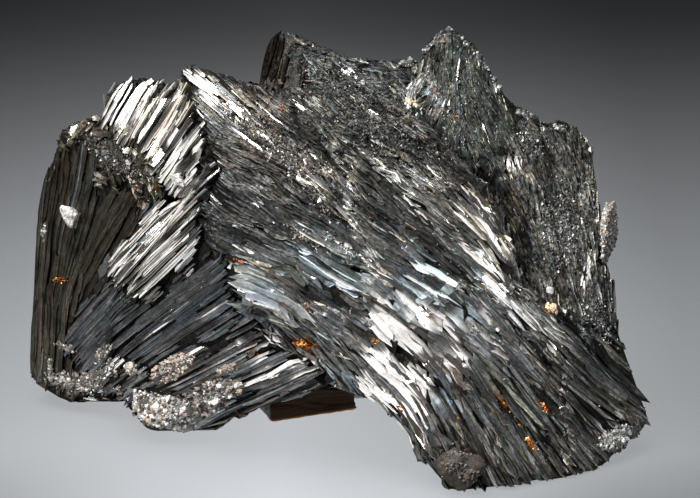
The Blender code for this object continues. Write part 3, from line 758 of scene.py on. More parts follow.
def lath_metal():
    """Metal striated along each lath, grainy where the lath is, stained in patches.

    The tint attribute holds the metal's colour with its painted light and shade, and how grainy it
    is as its alpha. Pale laths turn from metal to a painted highlight."""
    material, tree, shader = new_material("lath_metal")
    link = tree.links.new
    lath_map = add(tree, "ShaderNodeUVMap", uv_map="lath")
    stretch = add(tree, "ShaderNodeMapping", Scale=STRIAE_STRETCH)
    link(lath_map.outputs["UV"], stretch.inputs["Vector"])
    place = add(tree, "ShaderNodeTexCoord").outputs["Object"]
    striae = noise(tree, stretch.outputs["Vector"], 1.0, 3.0, 0.8)
    grain = noise(tree, place, 1900.0, 2.0, 0.6)
    stain = noise(tree, place, 260.0, 3.0, 0.6)
    attribute = add(tree, "ShaderNodeAttribute", attribute_name="tint")
    tint, grit = attribute.outputs["Color"], attribute.outputs["Alpha"]

    lines = span(tree, striae, 0.38, 0.58, 0.32, 1.2)
    specks = span(tree, grain, 0.36, 0.64, -1.0, 1.0)
    specks = combine(tree, "ADD", combine(tree, "MULTIPLY", specks, grit, SPECK_DEPTH), 1.0)
    patches = span(tree, stain, 0.35, 0.62, 0.6, 1.05)
    level = combine(tree, "MULTIPLY", lines, patches, specks)
    # Painted highlight: pale laths lose their striae and turn solid.
    highlight_fill = span(tree, tint, HIGHLIGHT_FROM, HIGHLIGHT_TO, 0.0, HIGHLIGHT_SOLID)
    missing = combine(tree, "SUBTRACT", 1.0, level)
    level = combine(tree, "ADD", level, combine(tree, "MULTIPLY", highlight_fill, missing))
    link(scaled(tree, tint, level), shader.inputs["Base Color"])

    relief = combine(tree, "MULTIPLY", grain, combine(tree, "MULTIPLY", grit, GRIT_RELIEF))
    emboss(tree, shader, combine(tree, "ADD", striae, relief), 0.12 * MM)
    dull = span(tree, striae, 0.3, 0.7, 0.38, 0.16)
    link(combine(tree, "ADD", dull, combine(tree, "MULTIPLY", grit, GRIT_DULLS)),
         shader.inputs["Roughness"])
    # Painted highlight: pale laths are less metallic, so they stay pale under any light.
    link(span(tree, tint, HIGHLIGHT_FROM, HIGHLIGHT_TO, 1.0, HIGHLIGHT_METALLIC), shader.inputs["Metallic"])
    shader.inputs["Specular Tint"].default_value = STEEL_SHINE
    return material


def mineral(name, scale, dark, pale, roughness, metallic=0.0, relief=0.2 * MM, grain=(1, 1, 1),
            turn=0):
    """A finish mottled between two colours by noise, with relief from the same noise.

    The noise is drawn out by the grain's scales, after a turn about the vertical, in degrees."""
    material, tree, shader = new_material(name)
    place = add(tree, "ShaderNodeTexCoord")
    lay = add(tree, "ShaderNodeMapping", Rotation=(0, 0, math.radians(turn)), Scale=grain)
    tree.links.new(place.outputs["Object"], lay.inputs["Vector"])
    mottle = noise(tree, lay.outputs["Vector"], scale, 5.0, 0.7)
    ramp = add(tree, "ShaderNodeValToRGB")
    for stop, at, colour in zip(ramp.color_ramp.elements, (0.36, 0.64), (dark, pale)):
        stop.position = at
        stop.color = (*colour, 1.0)
    tree.links.new(mottle, ramp.inputs["Fac"])
    tree.links.new(ramp.outputs["Color"], shader.inputs["Base Color"])
    emboss(tree, shader, mottle, relief)
    shader.inputs["Metallic"].default_value = metallic
    shader.inputs["Roughness"].default_value = roughness
    return material


BLOCK_TURN = 22.0
# A painted amber glow along the block's lower edge.
PAINTED_GLOW_HEIGHT = 0.45 * MM
PAINTED_AMBER_GLOW = (0.55, 0.22, 0.04, 1.0)


def brown_siderite():
    """Dark brown with fine level cleavage lines, and a painted amber glow along its thin lower edge.
    """
    material = mineral("brown_siderite", 400.0, (0.006, 0.0035, 0.002), (0.04, 0.016, 0.007), 0.3,
                       grain=(0.5, 0.5, 5), turn=-BLOCK_TURN)
    tree = material.node_tree
    shader = tree.nodes["Principled BSDF"]
    shader.inputs["Specular IOR Level"].default_value = 0.22
    shader.inputs["Specular Tint"].default_value = (1.0, 0.72, 0.5, 1.0)
    place = add(tree, "ShaderNodeTexCoord")
    split = add(tree, "ShaderNodeSeparateXYZ")
    tree.links.new(place.outputs["Object"], split.inputs["Vector"])
    # Painted glow: amber towards the bottom of the block.
    glow = span(tree, split.outputs["Z"], PAINTED_GLOW_HEIGHT, 0.0, 0.0, 1.0)
    body = shader.inputs["Base Color"].links[0].from_socket
    mix = add(tree, "ShaderNodeMix", data_type="RGBA")
    tree.links.new(glow, mix.inputs[0])  # the factor
    tree.links.new(body, mix.inputs[6])  # the first colour, and 7 is the second
    mix.inputs[7].default_value = PAINTED_AMBER_GLOW
    tree.links.new(mix.outputs[2], shader.inputs["Base Color"])  # the mixed colour
    return material


def grain_finish(name, metallic, roughness):
    """Grains in the colours of their tint attribute, flecked by fine noise."""
    material, tree, shader = new_material(name)
    place = add(tree, "ShaderNodeTexCoord").outputs["Object"]
    tint = add(tree, "ShaderNodeAttribute", attribute_name="tint").outputs["Color"]
    fleck = span(tree, noise(tree, place, 2600.0, 2.0, 0.6), 0.35, 0.65, 0.65, 1.2)
    tree.links.new(scaled(tree, tint, fleck), shader.inputs["Base Color"])
    shader.inputs["Metallic"].default_value = metallic
    shader.inputs["Roughness"].default_value = roughness
    return material


def repaint(node, material):
    """Puts a finish in every slot of a node."""
    for slot in node.material_slots:
        slot.material = material


# ---------------- growing the laths

CLUMP_SEEDS = 14000
CLUMPS_AT_ONCE = 400
BARE_BELOW = 0.3 * MM  # no lath is sown lower than this
STRIDES = 4  # steps of a lath's line each way from where it was sown
FACING_ALIKE = 0.6  # least cosine between the normals at a line's start and further along it
ENDS_FROM = 0.85  # how early a lath may end, as a share of the way its line reached
RING_SHIFT = 0.07
OVERSHOOT = 0.9 * MM  # how far a lath may run on past the edge where its line stopped
TAIL_OVERSHOOT = 0.6  # share of that for its lower end
SHORTEST = 0.8 * MM
STRAIGHT = 0.985  # least cosine between a lath's chord and the grain
TAPER_FREEDOM = 0.1  # how much less it may be for tapered laths
OWN_FACING, MIDDLE_FACING, CLUMP_FACING = 0.5, 0.2, 0.5

# Chance differences: low and high limits, or spreads about zero.
CLUMP_HEIGHT = (-0.6, 0.4)  # in steps
CLUMP_SHADE = (-0.5, 0.45)
SHADE_BY_STEP = 2.2
LENGTH_SPREAD = 0.4
STRAY_SPREAD = 0.5
MOST_SPIN = 0.7
ANY_PHASE = (0, 6.3)
WAVE_SPREAD = 0.7
WAVE_TURNS = 5  # radians of a lath's winding along its whole length
LATH_HEIGHT = (-0.35, 0.25)  # in steps
RISE_FROM = 0.6  # share of the length where a lifted lath turns
ROLL_SPREAD = 0.35
TOWARDS_SPREAD = 3  # degrees
LATH_WIDTH = (0.6, 1.5)
LATH_DEPTH = (0.8, 1.2)
LATH_RIDGE = (0, 1.6)
RIDGE_LEAN = (-0.3, 0.3)
UNEVEN = (0.6, 1.3)
SLANT_SPREAD = 1.1
LATH_SHADE = (0.7, 1.2)
WARMTH = (0.02, 0.06)  # mean and spread
GREENNESS = (0.01, 0.018)
# Levels of the painted highlight, the painted blue reflection and the painted orange glint.
HIGHLIGHT_LEVEL = (0.7, 1)
BLUE_REFLECTION_LEVEL = (0.7, 1.3)
ORANGE_GLINT_LEVEL = (0.1, 0.4)

# Marks of painted light and shade, and how laths keep off the core and out of the mirror direction.
FAINT = 0.05
HIGHLIGHT_PULL, ORANGE_GLINT_PULL = 0.9, 0.35
HIGHLIGHT_EDGE, BLUE_REFLECTION_EDGE, ORANGE_GLINT_EDGE = 6, 5, 8
HIGHLIGHT_IN_BRIGHT = 0.75  # share of the laths of a bright clump that carry a painted highlight
BRIGHT_FROM = 0.25  # mean painted highlight that makes a lath bright
NO_HIGHLIGHT_FROM = 0.3
SPARK = 0.012  # share of the laths that may carry a painted highlight anywhere
BRIGHT_PROUD = 0.06 * MM
# Hollows lie deeper and get painted shade.
HOLLOW_DEPTH = 0.4 * MM
HOLLOW_PAINTED_SHADE = 0.75
HOLLOW_CLEAR = 0.8  # how much less of the core's clearance a hollow keeps
MOST_TOWARDS_LIGHT = 0.6
MIRROR_CLEAR = math.radians(30)
GRIT_CLEAR = math.radians(9)
BLUE_REFLECTION_CLEAR = math.radians(14)
CORE_CLEAR = 0.14 * MM
CLEAR_LEAST, CLEAR_RANGE = 0.3, 1.4
CORE_REACH = 1.0 * MM
# Laths that had sunk into the core get painted shade, as if in the gaps between laths.
SUNK_DEPTH = 0.5 * MM
SUNK_PAINTED_SHADE = 0.35
# Colours of the painted highlight, the painted orange glint and the painted blue reflection.
HIGHLIGHT_TINT = np.array((0.97, 0.93, 0.90))
ORANGE_GLINT_TINT = np.array((0.80, 0.30, 0.06))
BLUE_REFLECTION_TINT = np.array((0.52, 0.60, 0.645))
WARMER = np.array((1.0, 0.0, -1.0))
GREENER = np.array((-1.0, 1.0, -1.0))


def sow(triangles, share, count):
    """Points over triangles, as many in each as its share, and the triangles they lie in."""
    pick = RANDOM.choice(len(triangles), count, p=share / share.sum())
    a, b = RANDOM.random((2, count))
    flip = a + b > 1
    a, b = np.where(flip, 1 - a, a), np.where(flip, 1 - b, b)
    corner = triangles[pick]
    points = corner[:, 0] + (corner[:, 1] - corner[:, 0]) * a[:, None]
    points += (corner[:, 2] - corner[:, 0]) * b[:, None]
    return points, pick


def follow(points, triangles, family, stride, sign):
    """Steps along the grain over the guide surface, from each point.

    A line stops where its family ends or the surface bends away from where it set out."""
    first = GUIDE_NORMAL[triangles]
    place, normal = points, first
    alive = np.ones(len(points), bool)
    reach = np.zeros(len(points))
    places, normals = [], []
    for _ in range(STRIDES):
        ahead = place + grain_at(place, normal, family) * (sign * stride)[:, None]
        ahead, triangle = drop(ahead)
        ahead_normal = GUIDE_NORMAL[triangle]
        alive &= GUIDE_FAMILY[triangle] == family
        alive &= (ahead_normal * first).sum(1) > FACING_ALIKE
        place = np.where(alive[:, None], ahead, place)
        normal = np.where(alive[:, None], ahead_normal, normal)
        reach += alive
        places.append(place)
        normals.append(normal)
    return places, normals, reach


def sow_clumps(ground):
    """Clumps of laths: each has its own facet, height and shade, and some face the light."""
    point, triangle = sow(GUIDE, GUIDE_AREA / ground.clump ** 2, CLUMP_SEEDS)
    family, normal = GUIDE_FAMILY[triangle], GUIDE_NORMAL[triangle]
    look = look_at(point, normal, family)
    kept = thin_out(point, look.clump * MM, family)
    point, family, normal, look = point[kept], family[kept], normal[kept], chosen(look, kept)
    count = len(kept)
    way = grain_at(point, normal, family)
    return SimpleNamespace(
        point=point, family=family, normal=normal, way=way, side=np.cross(normal, way),
        stretch=look.stretch,
        roll=np.radians(RANDOM.normal(0, 1, count) * look.roll),
        height=RANDOM.uniform(*CLUMP_HEIGHT, count) * look.step * MM,
        shade=1 + RANDOM.uniform(*CLUMP_SHADE, count) * np.minimum(look.step * SHADE_BY_STEP, 1),
        bright=RANDOM.random(count) < look.catch - SPARK,
        stray=np.radians(RANDOM.normal(0, 1, count) * look.stray))


@in_pieces
def clump_of(points, family, clumps):
    """Clump each point belongs to: the nearest of its family, with distance along counted less."""
    best = np.full(len(points), np.inf)
    pick = np.zeros(len(points), int)
    for start in range(0, len(clumps.point), CLUMPS_AT_ONCE):
        some = chosen(clumps, slice(start, start + CLUMPS_AT_ONCE))
        off = points[:, None] - some.point[None]
        along = (off * some.way[None]).sum(-1) / some.stretch[None]
        across = (off * some.side[None]).sum(-1)
        over = (off * some.normal[None]).sum(-1)
        gap = along ** 2 + across ** 2 + over ** 2
        gap[family[:, None] != some.family[None]] = np.inf
        near = gap.argmin(1)
        value = gap[np.arange(len(points)), near]
        pick = np.where(value < best, near + start, pick)
        best = np.minimum(value, best)
    return pick


def signed_angle(a, b, axis):
    """Angle that turns a to b about an axis."""
    return np.arctan2(dot(np.cross(a, b), axis), dot(a, b))[..., 0]


def trace_laths(points, triangle, family, length):
    """Rings of each lath, the normals there, their directions, and the length of the whole.

    A line is followed both ways from the point, and its rings lie between its ends at the shares
    RING_AT, each shifted a little. Where a line stopped early, the lath runs on a little."""
    count = len(points)
    stride = length * RANDOM.lognormal(0, LENGTH_SPREAD, count) / (2 * STRIDES)
    ahead = follow(points, triangle, family, stride, 1.0)
    behind = follow(points, triangle, family, stride, -1.0)
    line = np.stack(behind[0][::-1] + [points] + ahead[0], 1)
    line_normal = np.stack(behind[1][::-1] + [GUIDE_NORMAL[triangle]] + ahead[1], 1)
    first = STRIDES - behind[2] * RANDOM.uniform(ENDS_FROM, 1, count)
    last = STRIDES + ahead[2] * RANDOM.uniform(ENDS_FROM, 1, count)
    shift = RANDOM.uniform(-RING_SHIFT, RING_SHIFT, (count, len(RING_AT)))
    ring_at = RING_AT + shift * RING_FREE
    at = first[:, None] + (last - first)[:, None] * ring_at
    low = np.minimum(at.astype(int), 2 * STRIDES - 1)
    past = (at - low)[..., None]
    row = np.arange(count)[:, None]
    centre = line[row, low] * (1 - past) + line[row, low + 1] * past
    out = unit(line_normal[row, low] * (1 - past) + line_normal[row, low + 1] * past)
    along = unit(np.gradient(centre, axis=1))
    for end, sign, strides, share in ((-1, 1, ahead[2], 1.0), (0, -1, behind[2], TAIL_OVERSHOOT)):
        further = (strides < STRIDES) * RANDOM.uniform(0, OVERSHOOT, count) * share
        centre[:, end] += sign * along[:, end] * further[:, None]
    return centre, out, along, np.linalg.norm(np.diff(centre, axis=1), axis=2).sum(1)


def above(strength, chance, edge):
    """From 0 to 1 as a strength passes a chance: (strength - chance) * edge + 0.5."""
    return np.clip((strength - chance) * edge + 0.5, 0, 1)


def mark_laths(centre, out, caught):
    """How much painted highlight, hollow, painted orange glint and painted blue reflection each ring
    has, from the listed places.

    A lath gets a painted highlight where the strength is above a chance of its own. Most laths of
    the clumps that catch the light get one too, and nothing in a hollow does."""
    count = len(centre)
    white, hollow, orange, blue = (
        strength_of(places, centre.reshape(-1, 3), out.reshape(-1, 3)).reshape(count, -1)
        for places in (HIGHLIGHT_PLACES, HOLLOW_PLACES, ORANGE_GLINT_PLACES, BLUE_REFLECTION_PLACES))
    chance = RANDOM.random((count, 1))
    felt = (white > FAINT) | (chance < SPARK)
    # Painted highlight: marked laths are later tinted pale, as if the key light glinted on them.
    white = above(white * HIGHLIGHT_PULL, chance, HIGHLIGHT_EDGE) * felt
    white = np.maximum(white, (caught & (chance[:, 0] < HIGHLIGHT_IN_BRIGHT))[:, None])
    white = white * (hollow < NO_HIGHLIGHT_FROM)
    return SimpleNamespace(white=white, hollow=hollow, orange=orange, blue=blue, chance=chance,
                           bright=white.mean(1) > BRIGHT_FROM)


def raise_laths(centre, out, side, length, look, own, marks):
    """Rings moved to their laths' own lie, and the painted shade each gets for having sunk into the
    core.

    A lath turns about its middle by its stray, winds by a sine, stands at its clump's height with
    its tip lifted, and lies deeper in hollows. Rings too near the core are raised to clear it, and
    even laths are raised as a whole."""
    count = len(centre)
    spin = own.stray + np.radians(RANDOM.normal(0, STRAY_SPREAD, count) * look.stray)
    spin = np.clip(spin, -MOST_SPIN, MOST_SPIN)
    arm = (RING_AT - 0.5)[None] * length[:, None]
    centre = centre + side * (np.tan(spin)[:, None] * arm)[..., None]
    turn = RANDOM.uniform(*ANY_PHASE, count)[:, None] + WAVE_TURNS * RING_AT
    sway = (look.wave * MM * RANDOM.normal(0, WAVE_SPREAD, count))[:, None] * np.sin(turn)
    centre = centre + side * sway[..., None]
    height = own.height + (look.proud + RANDOM.uniform(*LATH_HEIGHT, count) * look.step) * MM
    height = height + marks.bright * BRIGHT_PROUD
    rise = (look.lift * MM * RANDOM.uniform(0, 1, count))[:, None] * (RING_AT - RISE_FROM)[None]
    centre = centre + out * (height[:, None] + rise - marks.hollow * HOLLOW_DEPTH)[..., None]
    place, index = drop(centre.reshape(-1, 3), CORE_TREE)
    over = ((centre.reshape(-1, 3) - place) * CORE_NORMAL[index]).sum(1).reshape(count, -1)
    least = CORE_CLEAR * (CLEAR_LEAST + CLEAR_RANGE * marks.chance)
    least = least * (1 - HOLLOW_CLEAR * np.minimum(marks.hollow, 1))
    raised = np.clip(least - over, 0, CORE_REACH)
    whole = np.minimum(raised.max(1, keepdims=True), CORE_REACH / 2)
    raised = raised + (np.maximum(whole, raised) - raised) * (1 - look.taper[:, None])
    # Painted shade: laths that had sunk into the core sit in the gaps between laths.
    dark = np.clip(raised / SUNK_DEPTH, 0, 1) * SUNK_PAINTED_SHADE * (1 - marks.bright[:, None])
    return centre + out * raised[..., None], dark


def roll_laths(along, out, look, own, marks):
    """The way each ring faces, after the lath's roll about its own line.

    Bright laths turn towards the mirror direction, halfway between camera and light. The others keep
    at least an angle clear of it, which is wider for grainy laths and for those with a painted blue
    reflection."""
    count = len(out)
    mirror = unit(SIGHT[:, 2] + unit(np.array(KEY_LIGHT)))
    mid_along = along[:, 2]
    goal = unit(mirror - mid_along * dot(mirror[None], mid_along))
    needed = signed_angle(out[:, 2], goal, mid_along)
    lean = own.roll + np.radians(RANDOM.normal(0, ROLL_SPREAD, count) * look.roll)
    off = lean - needed
    nearness = np.sqrt(1 - (mid_along @ mirror) ** 2)
    apart = MIRROR_CLEAR + GRIT_CLEAR * look.grit
    apart = apart + BLUE_REFLECTION_CLEAR * np.minimum(marks.blue.mean(1), 1)
    clear = np.arccos(np.clip(np.cos(apart) / nearness, 0, 1))
    near_mirror = (np.abs(off) < clear) & ~marks.bright
    lean = np.where(near_mirror, needed + np.where(off < 0, -clear, clear), lean)
    towards = np.clip(needed, -MOST_TOWARDS_LIGHT, MOST_TOWARDS_LIGHT)
    towards = towards + np.radians(RANDOM.normal(0, TOWARDS_SPREAD, count))
    lean = np.where(marks.bright, towards, lean)
    return turn_about(out, along, np.repeat(lean[:, None], len(RING_AT), 1))


def tint_laths(look, own, marks, dark):
    """Colour of each ring: the part's tint by the clump's and the lath's shade, with painted shade
    in hollows and where the lath had sunk, and a random cast, turned by marks towards a painted
    highlight, a painted blue reflection and a painted orange glint."""
    count = len(dark)
    shade = (own.shade * RANDOM.uniform(*LATH_SHADE, count))[:, None]
    # Painted shade in hollows and where the lath had sunk.
    shade = shade * (1 - HOLLOW_PAINTED_SHADE * marks.hollow) * (1 - dark)
    cast = 1 + RANDOM.normal(*WARMTH, (count, 1, 1)) * WARMER
    cast = cast + RANDOM.normal(*GREENNESS, (count, 1, 1)) * GREENER
    colour = look.tint[:, None] * shade[..., None] * cast
    # Painted highlight, painted blue reflection and painted orange glint, mixed into the colour.
    lit = marks.white * RANDOM.uniform(*HIGHLIGHT_LEVEL, (count, 1))
    rare = RANDOM.random((count, 1))
    bluish = above(marks.blue, rare, BLUE_REFLECTION_EDGE) * (1 - marks.white)
    blue = BLUE_REFLECTION_TINT * RANDOM.uniform(*BLUE_REFLECTION_LEVEL, (count, 1, 1))
    orange_glint_share = above(marks.orange * ORANGE_GLINT_PULL, rare, ORANGE_GLINT_EDGE) * (marks.orange > FAINT)
    orange_glint_colour = ORANGE_GLINT_TINT * RANDOM.uniform(*ORANGE_GLINT_LEVEL, (count, 1, 1))
    for goal, strength in ((HIGHLIGHT_TINT, lit), (blue, bluish), (orange_glint_colour, orange_glint_share)):
        colour = colour + (goal - colour) * strength[..., None]
    return np.clip(colour, LEAST_TINT, MOST_TINT)


def grow_laths():
    """Sows laths over the guide surface and builds one piece for each part of the specimen.

    Laths are sown cover / (length * width) to the square metre."""
    metal = lath_metal()
    ground = look_at(GUIDE_CENTRE, GUIDE_NORMAL, GUIDE_FAMILY)
    density = ground.cover / (ground.length * ground.width * MM * MM)
    density[GUIDE_CENTRE[:, 2] < BARE_BELOW] = 0
    count = int((density * GUIDE_AREA).sum())
    points, triangle = sow(GUIDE, density * GUIDE_AREA, count)
    normal, family = GUIDE_NORMAL[triangle], GUIDE_FAMILY[triangle]
    look = look_at(points, normal, family)
    clumps = sow_clumps(ground)
    own = chosen(clumps, clump_of(points, family, clumps))

    centre, out, along, length = trace_laths(points, triangle, family, look.length * MM)
    chord = unit(centre[:, -1] - centre[:, 0])
    straight = (chord * grain_at(points, normal, family)).sum(1)
    keep = (length > SHORTEST) & (straight >= STRAIGHT - TAPER_FREEDOM * look.taper)
    out = unit(out * OWN_FACING + out[:, 2:3] * MIDDLE_FACING + own.normal[:, None] * CLUMP_FACING)
    out = unit(out - along * dot(out, along))
    marks = mark_laths(centre, out, own.bright)
    centre, dark = raise_laths(centre, out, np.cross(out, along), length, look, own, marks)
    out = roll_laths(along, out, look, own, marks)
    width = look.width * MM * RANDOM.uniform(*LATH_WIDTH, count)
    tint = tint_laths(look, own, marks, dark)
    laths = SimpleNamespace(
        centre=centre, side=np.cross(out, along), out=out, length=length, width=width, tint=tint,
        taper=look.taper, grit=look.grit,
        depth=look.depth * MM * RANDOM.uniform(*LATH_DEPTH, count),
        ridge=look.ridge * RANDOM.uniform(*LATH_RIDGE, count) * ~marks.bright,
        lean=RANDOM.uniform(*RIDGE_LEAN, count),
        uneven=RANDOM.uniform(*UNEVEN, (count, len(RING_AT), 2)),
        slant=RANDOM.normal(0, SLANT_SPREAD, (count, 2)))
    owner = owners_of(points, normal)
    for index, name in enumerate(PART_NAMES):
        mine = keep & (owner == index)
        if mine.any():
            lath_mesh(name + "_laths", chosen(laths, mine), metal)


# ---------------- seated minerals

STONE_AROUND = 96
STONE_ROWS = 54
STONE_OCTAVES = 4  # sets of waves, each twice as fine as the last
STONE_WAVES = 7
WAVE_SCALE = 4.0
WAVE_FADES = 1.6
STEPS = 1.5  # steps to the height of a wave
SQUARE_FACE, CUT_FACES = 0.92, (1.02, 1.22)  # one over the distance of the faces from the middle
NARROWING = 1.5  # the power that the narrowing towards the foot goes by

# Seated minerals: half lengths in millimetres, turn in degrees, how many random faces it has (none
# for a cleavage block), how sharp its edges are, how rough it is, how far its steps go in, and how
# much it narrows towards its foot.
QUARTZ = dict(turn=0, faces=9, sharp=24, rough=0.05, step=0.1, narrow=0)
STONES = {
    "siderite_block": dict(half=(7.0, 4.5, 3.2), turn=BLOCK_TURN, faces=0, sharp=26, rough=0.006,
                           step=0.03, narrow=0, seed=3),
    "rock_lump": dict(half=(4.1, 3.2, 3.0), turn=0, faces=9, sharp=14, rough=0.07, step=0.06,
                      narrow=0.8, seed=8),
    "edge_flake": dict(half=(0.8, 3.0, 4.3), turn=-24.0, faces=9, sharp=12, rough=0.06, step=0.08,
                       narrow=0, seed=5),
    "quartz_grain_left": dict(QUARTZ, half=(1.2, 1.2, 1.5), seed=11),
    "quartz_grain_upper": dict(QUARTZ, half=(0.9, 0.8, 0.8), seed=12),
    "quartz_grain_right": dict(QUARTZ, half=(0.6, 0.6, 0.55), faces=11, sharp=8, rough=0.02,
                               step=0.0, seed=13),
}


def ball_of_ways():
    """Unit directions in rows from pole to pole, and the faces between them, facing outwards."""
    down = math.pi * np.arange(1, STONE_ROWS) / STONE_ROWS
    turn = 2 * math.pi * np.arange(STONE_AROUND) / STONE_AROUND
    ways = np.stack([np.sin(down)[:, None] * np.cos(turn), np.sin(down)[:, None] * np.sin(turn),
                     np.cos(down)[:, None] + 0 * turn], -1).reshape(-1, 3)
    ways = np.concatenate([ways, [(0, 0, 1), (0, 0, -1)]])
    row = np.arange(STONE_ROWS - 2)[:, None] * STONE_AROUND
    here = np.arange(STONE_AROUND)
    after = (here + 1) % STONE_AROUND
    sides = np.stack([row + here, row + STONE_AROUND + here, row + STONE_AROUND + after,
                      row + after], -1).reshape(-1, 4)
    last = (STONE_ROWS - 2) * STONE_AROUND
    top = np.stack([here, after, 0 * here + len(ways) - 2], -1)
    bottom = np.stack([last + after, last + here, 0 * here + len(ways) - 1], -1)
    return ways, sides.tolist() + top.tolist() + bottom.tolist()


def stone(name, form, material, slot):
    """A seated mineral in place of its CAD node.

    Its surface lies along each direction d at the distance (sum of (d.n)^p) ^ (-1/p) over its
    faces' directions n, which is a solid with rounded edges, the sharper the larger p is. Waves
    in random directions roughen it, and rounded down to whole steps they leave ledges."""
    draw = np.random.default_rng(form["seed"])
    ways, faces = ball_of_ways()
    normals = np.concatenate([np.eye(3), -np.eye(3)])
    if form["faces"]:
        cuts = unit(draw.normal(0, 1, (form["faces"], 3)))
        cuts = cuts * draw.uniform(*CUT_FACES, (form["faces"], 1))
        normals = np.concatenate([normals * SQUARE_FACE, cuts])
    across = np.maximum(ways @ normals.T, 0.0)
    reach = (across ** form["sharp"]).sum(1) ** (-1 / form["sharp"])
    flat = ways * reach[:, None]
    for octave in range(STONE_OCTAVES):
        wave = np.zeros(len(ways))
        for _ in range(STONE_WAVES):
            way = unit(draw.normal(0, 1, 3)) * WAVE_SCALE * 2 ** octave
            wave += np.sin(flat @ way + draw.uniform(*ANY_PHASE)) / STONE_WAVES ** 0.5
        if octave == 0:
            reach *= 1 - form["step"] * np.clip(np.round(wave * STEPS), -1, 2)
        reach *= 1 + form["rough"] * wave / WAVE_FADES ** octave
    low, high = (np.array(corner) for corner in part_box(name))
    points = ways * reach[:, None] * np.array(form["half"]) * MM
    cos, sin = math.cos(math.radians(form["turn"])), math.sin(math.radians(form["turn"]))
    height = points[:, 2:] / (2 * form["half"][2] * MM) + 0.5
    points[:, :2] *= 1 - form["narrow"] * np.clip(1 - height, 0, 1) ** NARROWING
    points = points @ np.array([(cos, sin, 0), (-sin, cos, 0), (0, 0, 1)]) + (low + high) / 2
    points[:, 2] = np.maximum(points[:, 2], 0.0)
    mesh = bpy.data.meshes.new(name + "_stone")
    mesh.from_pydata(points.tolist(), [], faces)
    mesh.update()
    mesh.shade_smooth()
    obj = make_piece(name + "_stone", mesh, material)
    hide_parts(name)
    return obj


# ---------------- grains

BEIGE = (0.50, 0.39, 0.31)
PINK = (0.50, 0.36, 0.34)
WHITE = (0.88, 0.86, 0.83)
GREY = (0.34, 0.34, 0.33)
UMBER = (0.10, 0.08, 0.06)
STEEL = (0.31, 0.314, 0.302)
ORANGE = (0.90, 0.34, 0.06)
YELLOW = (0.95, 0.62, 0.20)
# Dark red of the painted orange glints.
RED_GLINT = (0.30, 0.07, 0.02)
SALMON = (0.90, 0.42, 0.24)
STRAW = (0.80, 0.68, 0.40)
SHADE = (0.10, 0.10, 0.10)
DUSK = (0.17, 0.155, 0.14)


def grain_field(places, number, colours, radius=0.13, soft=0.8, slot="arsenopyrite"):
    """A field of grains.

    Its places are across, down, half length, half breadth and angle in the frame, and a weight
    where it isn't 1. The radius is in millimetres, and each grain draws one of the colours. Soft
    is from 0 for an even field with a hard edge to 1 for one that thins outwards."""
    return {"places": [(*place, 1.0)[:6] for place in places], "number": number,
            "colours": colours, "radius": radius, "soft": soft, "slot": slot}


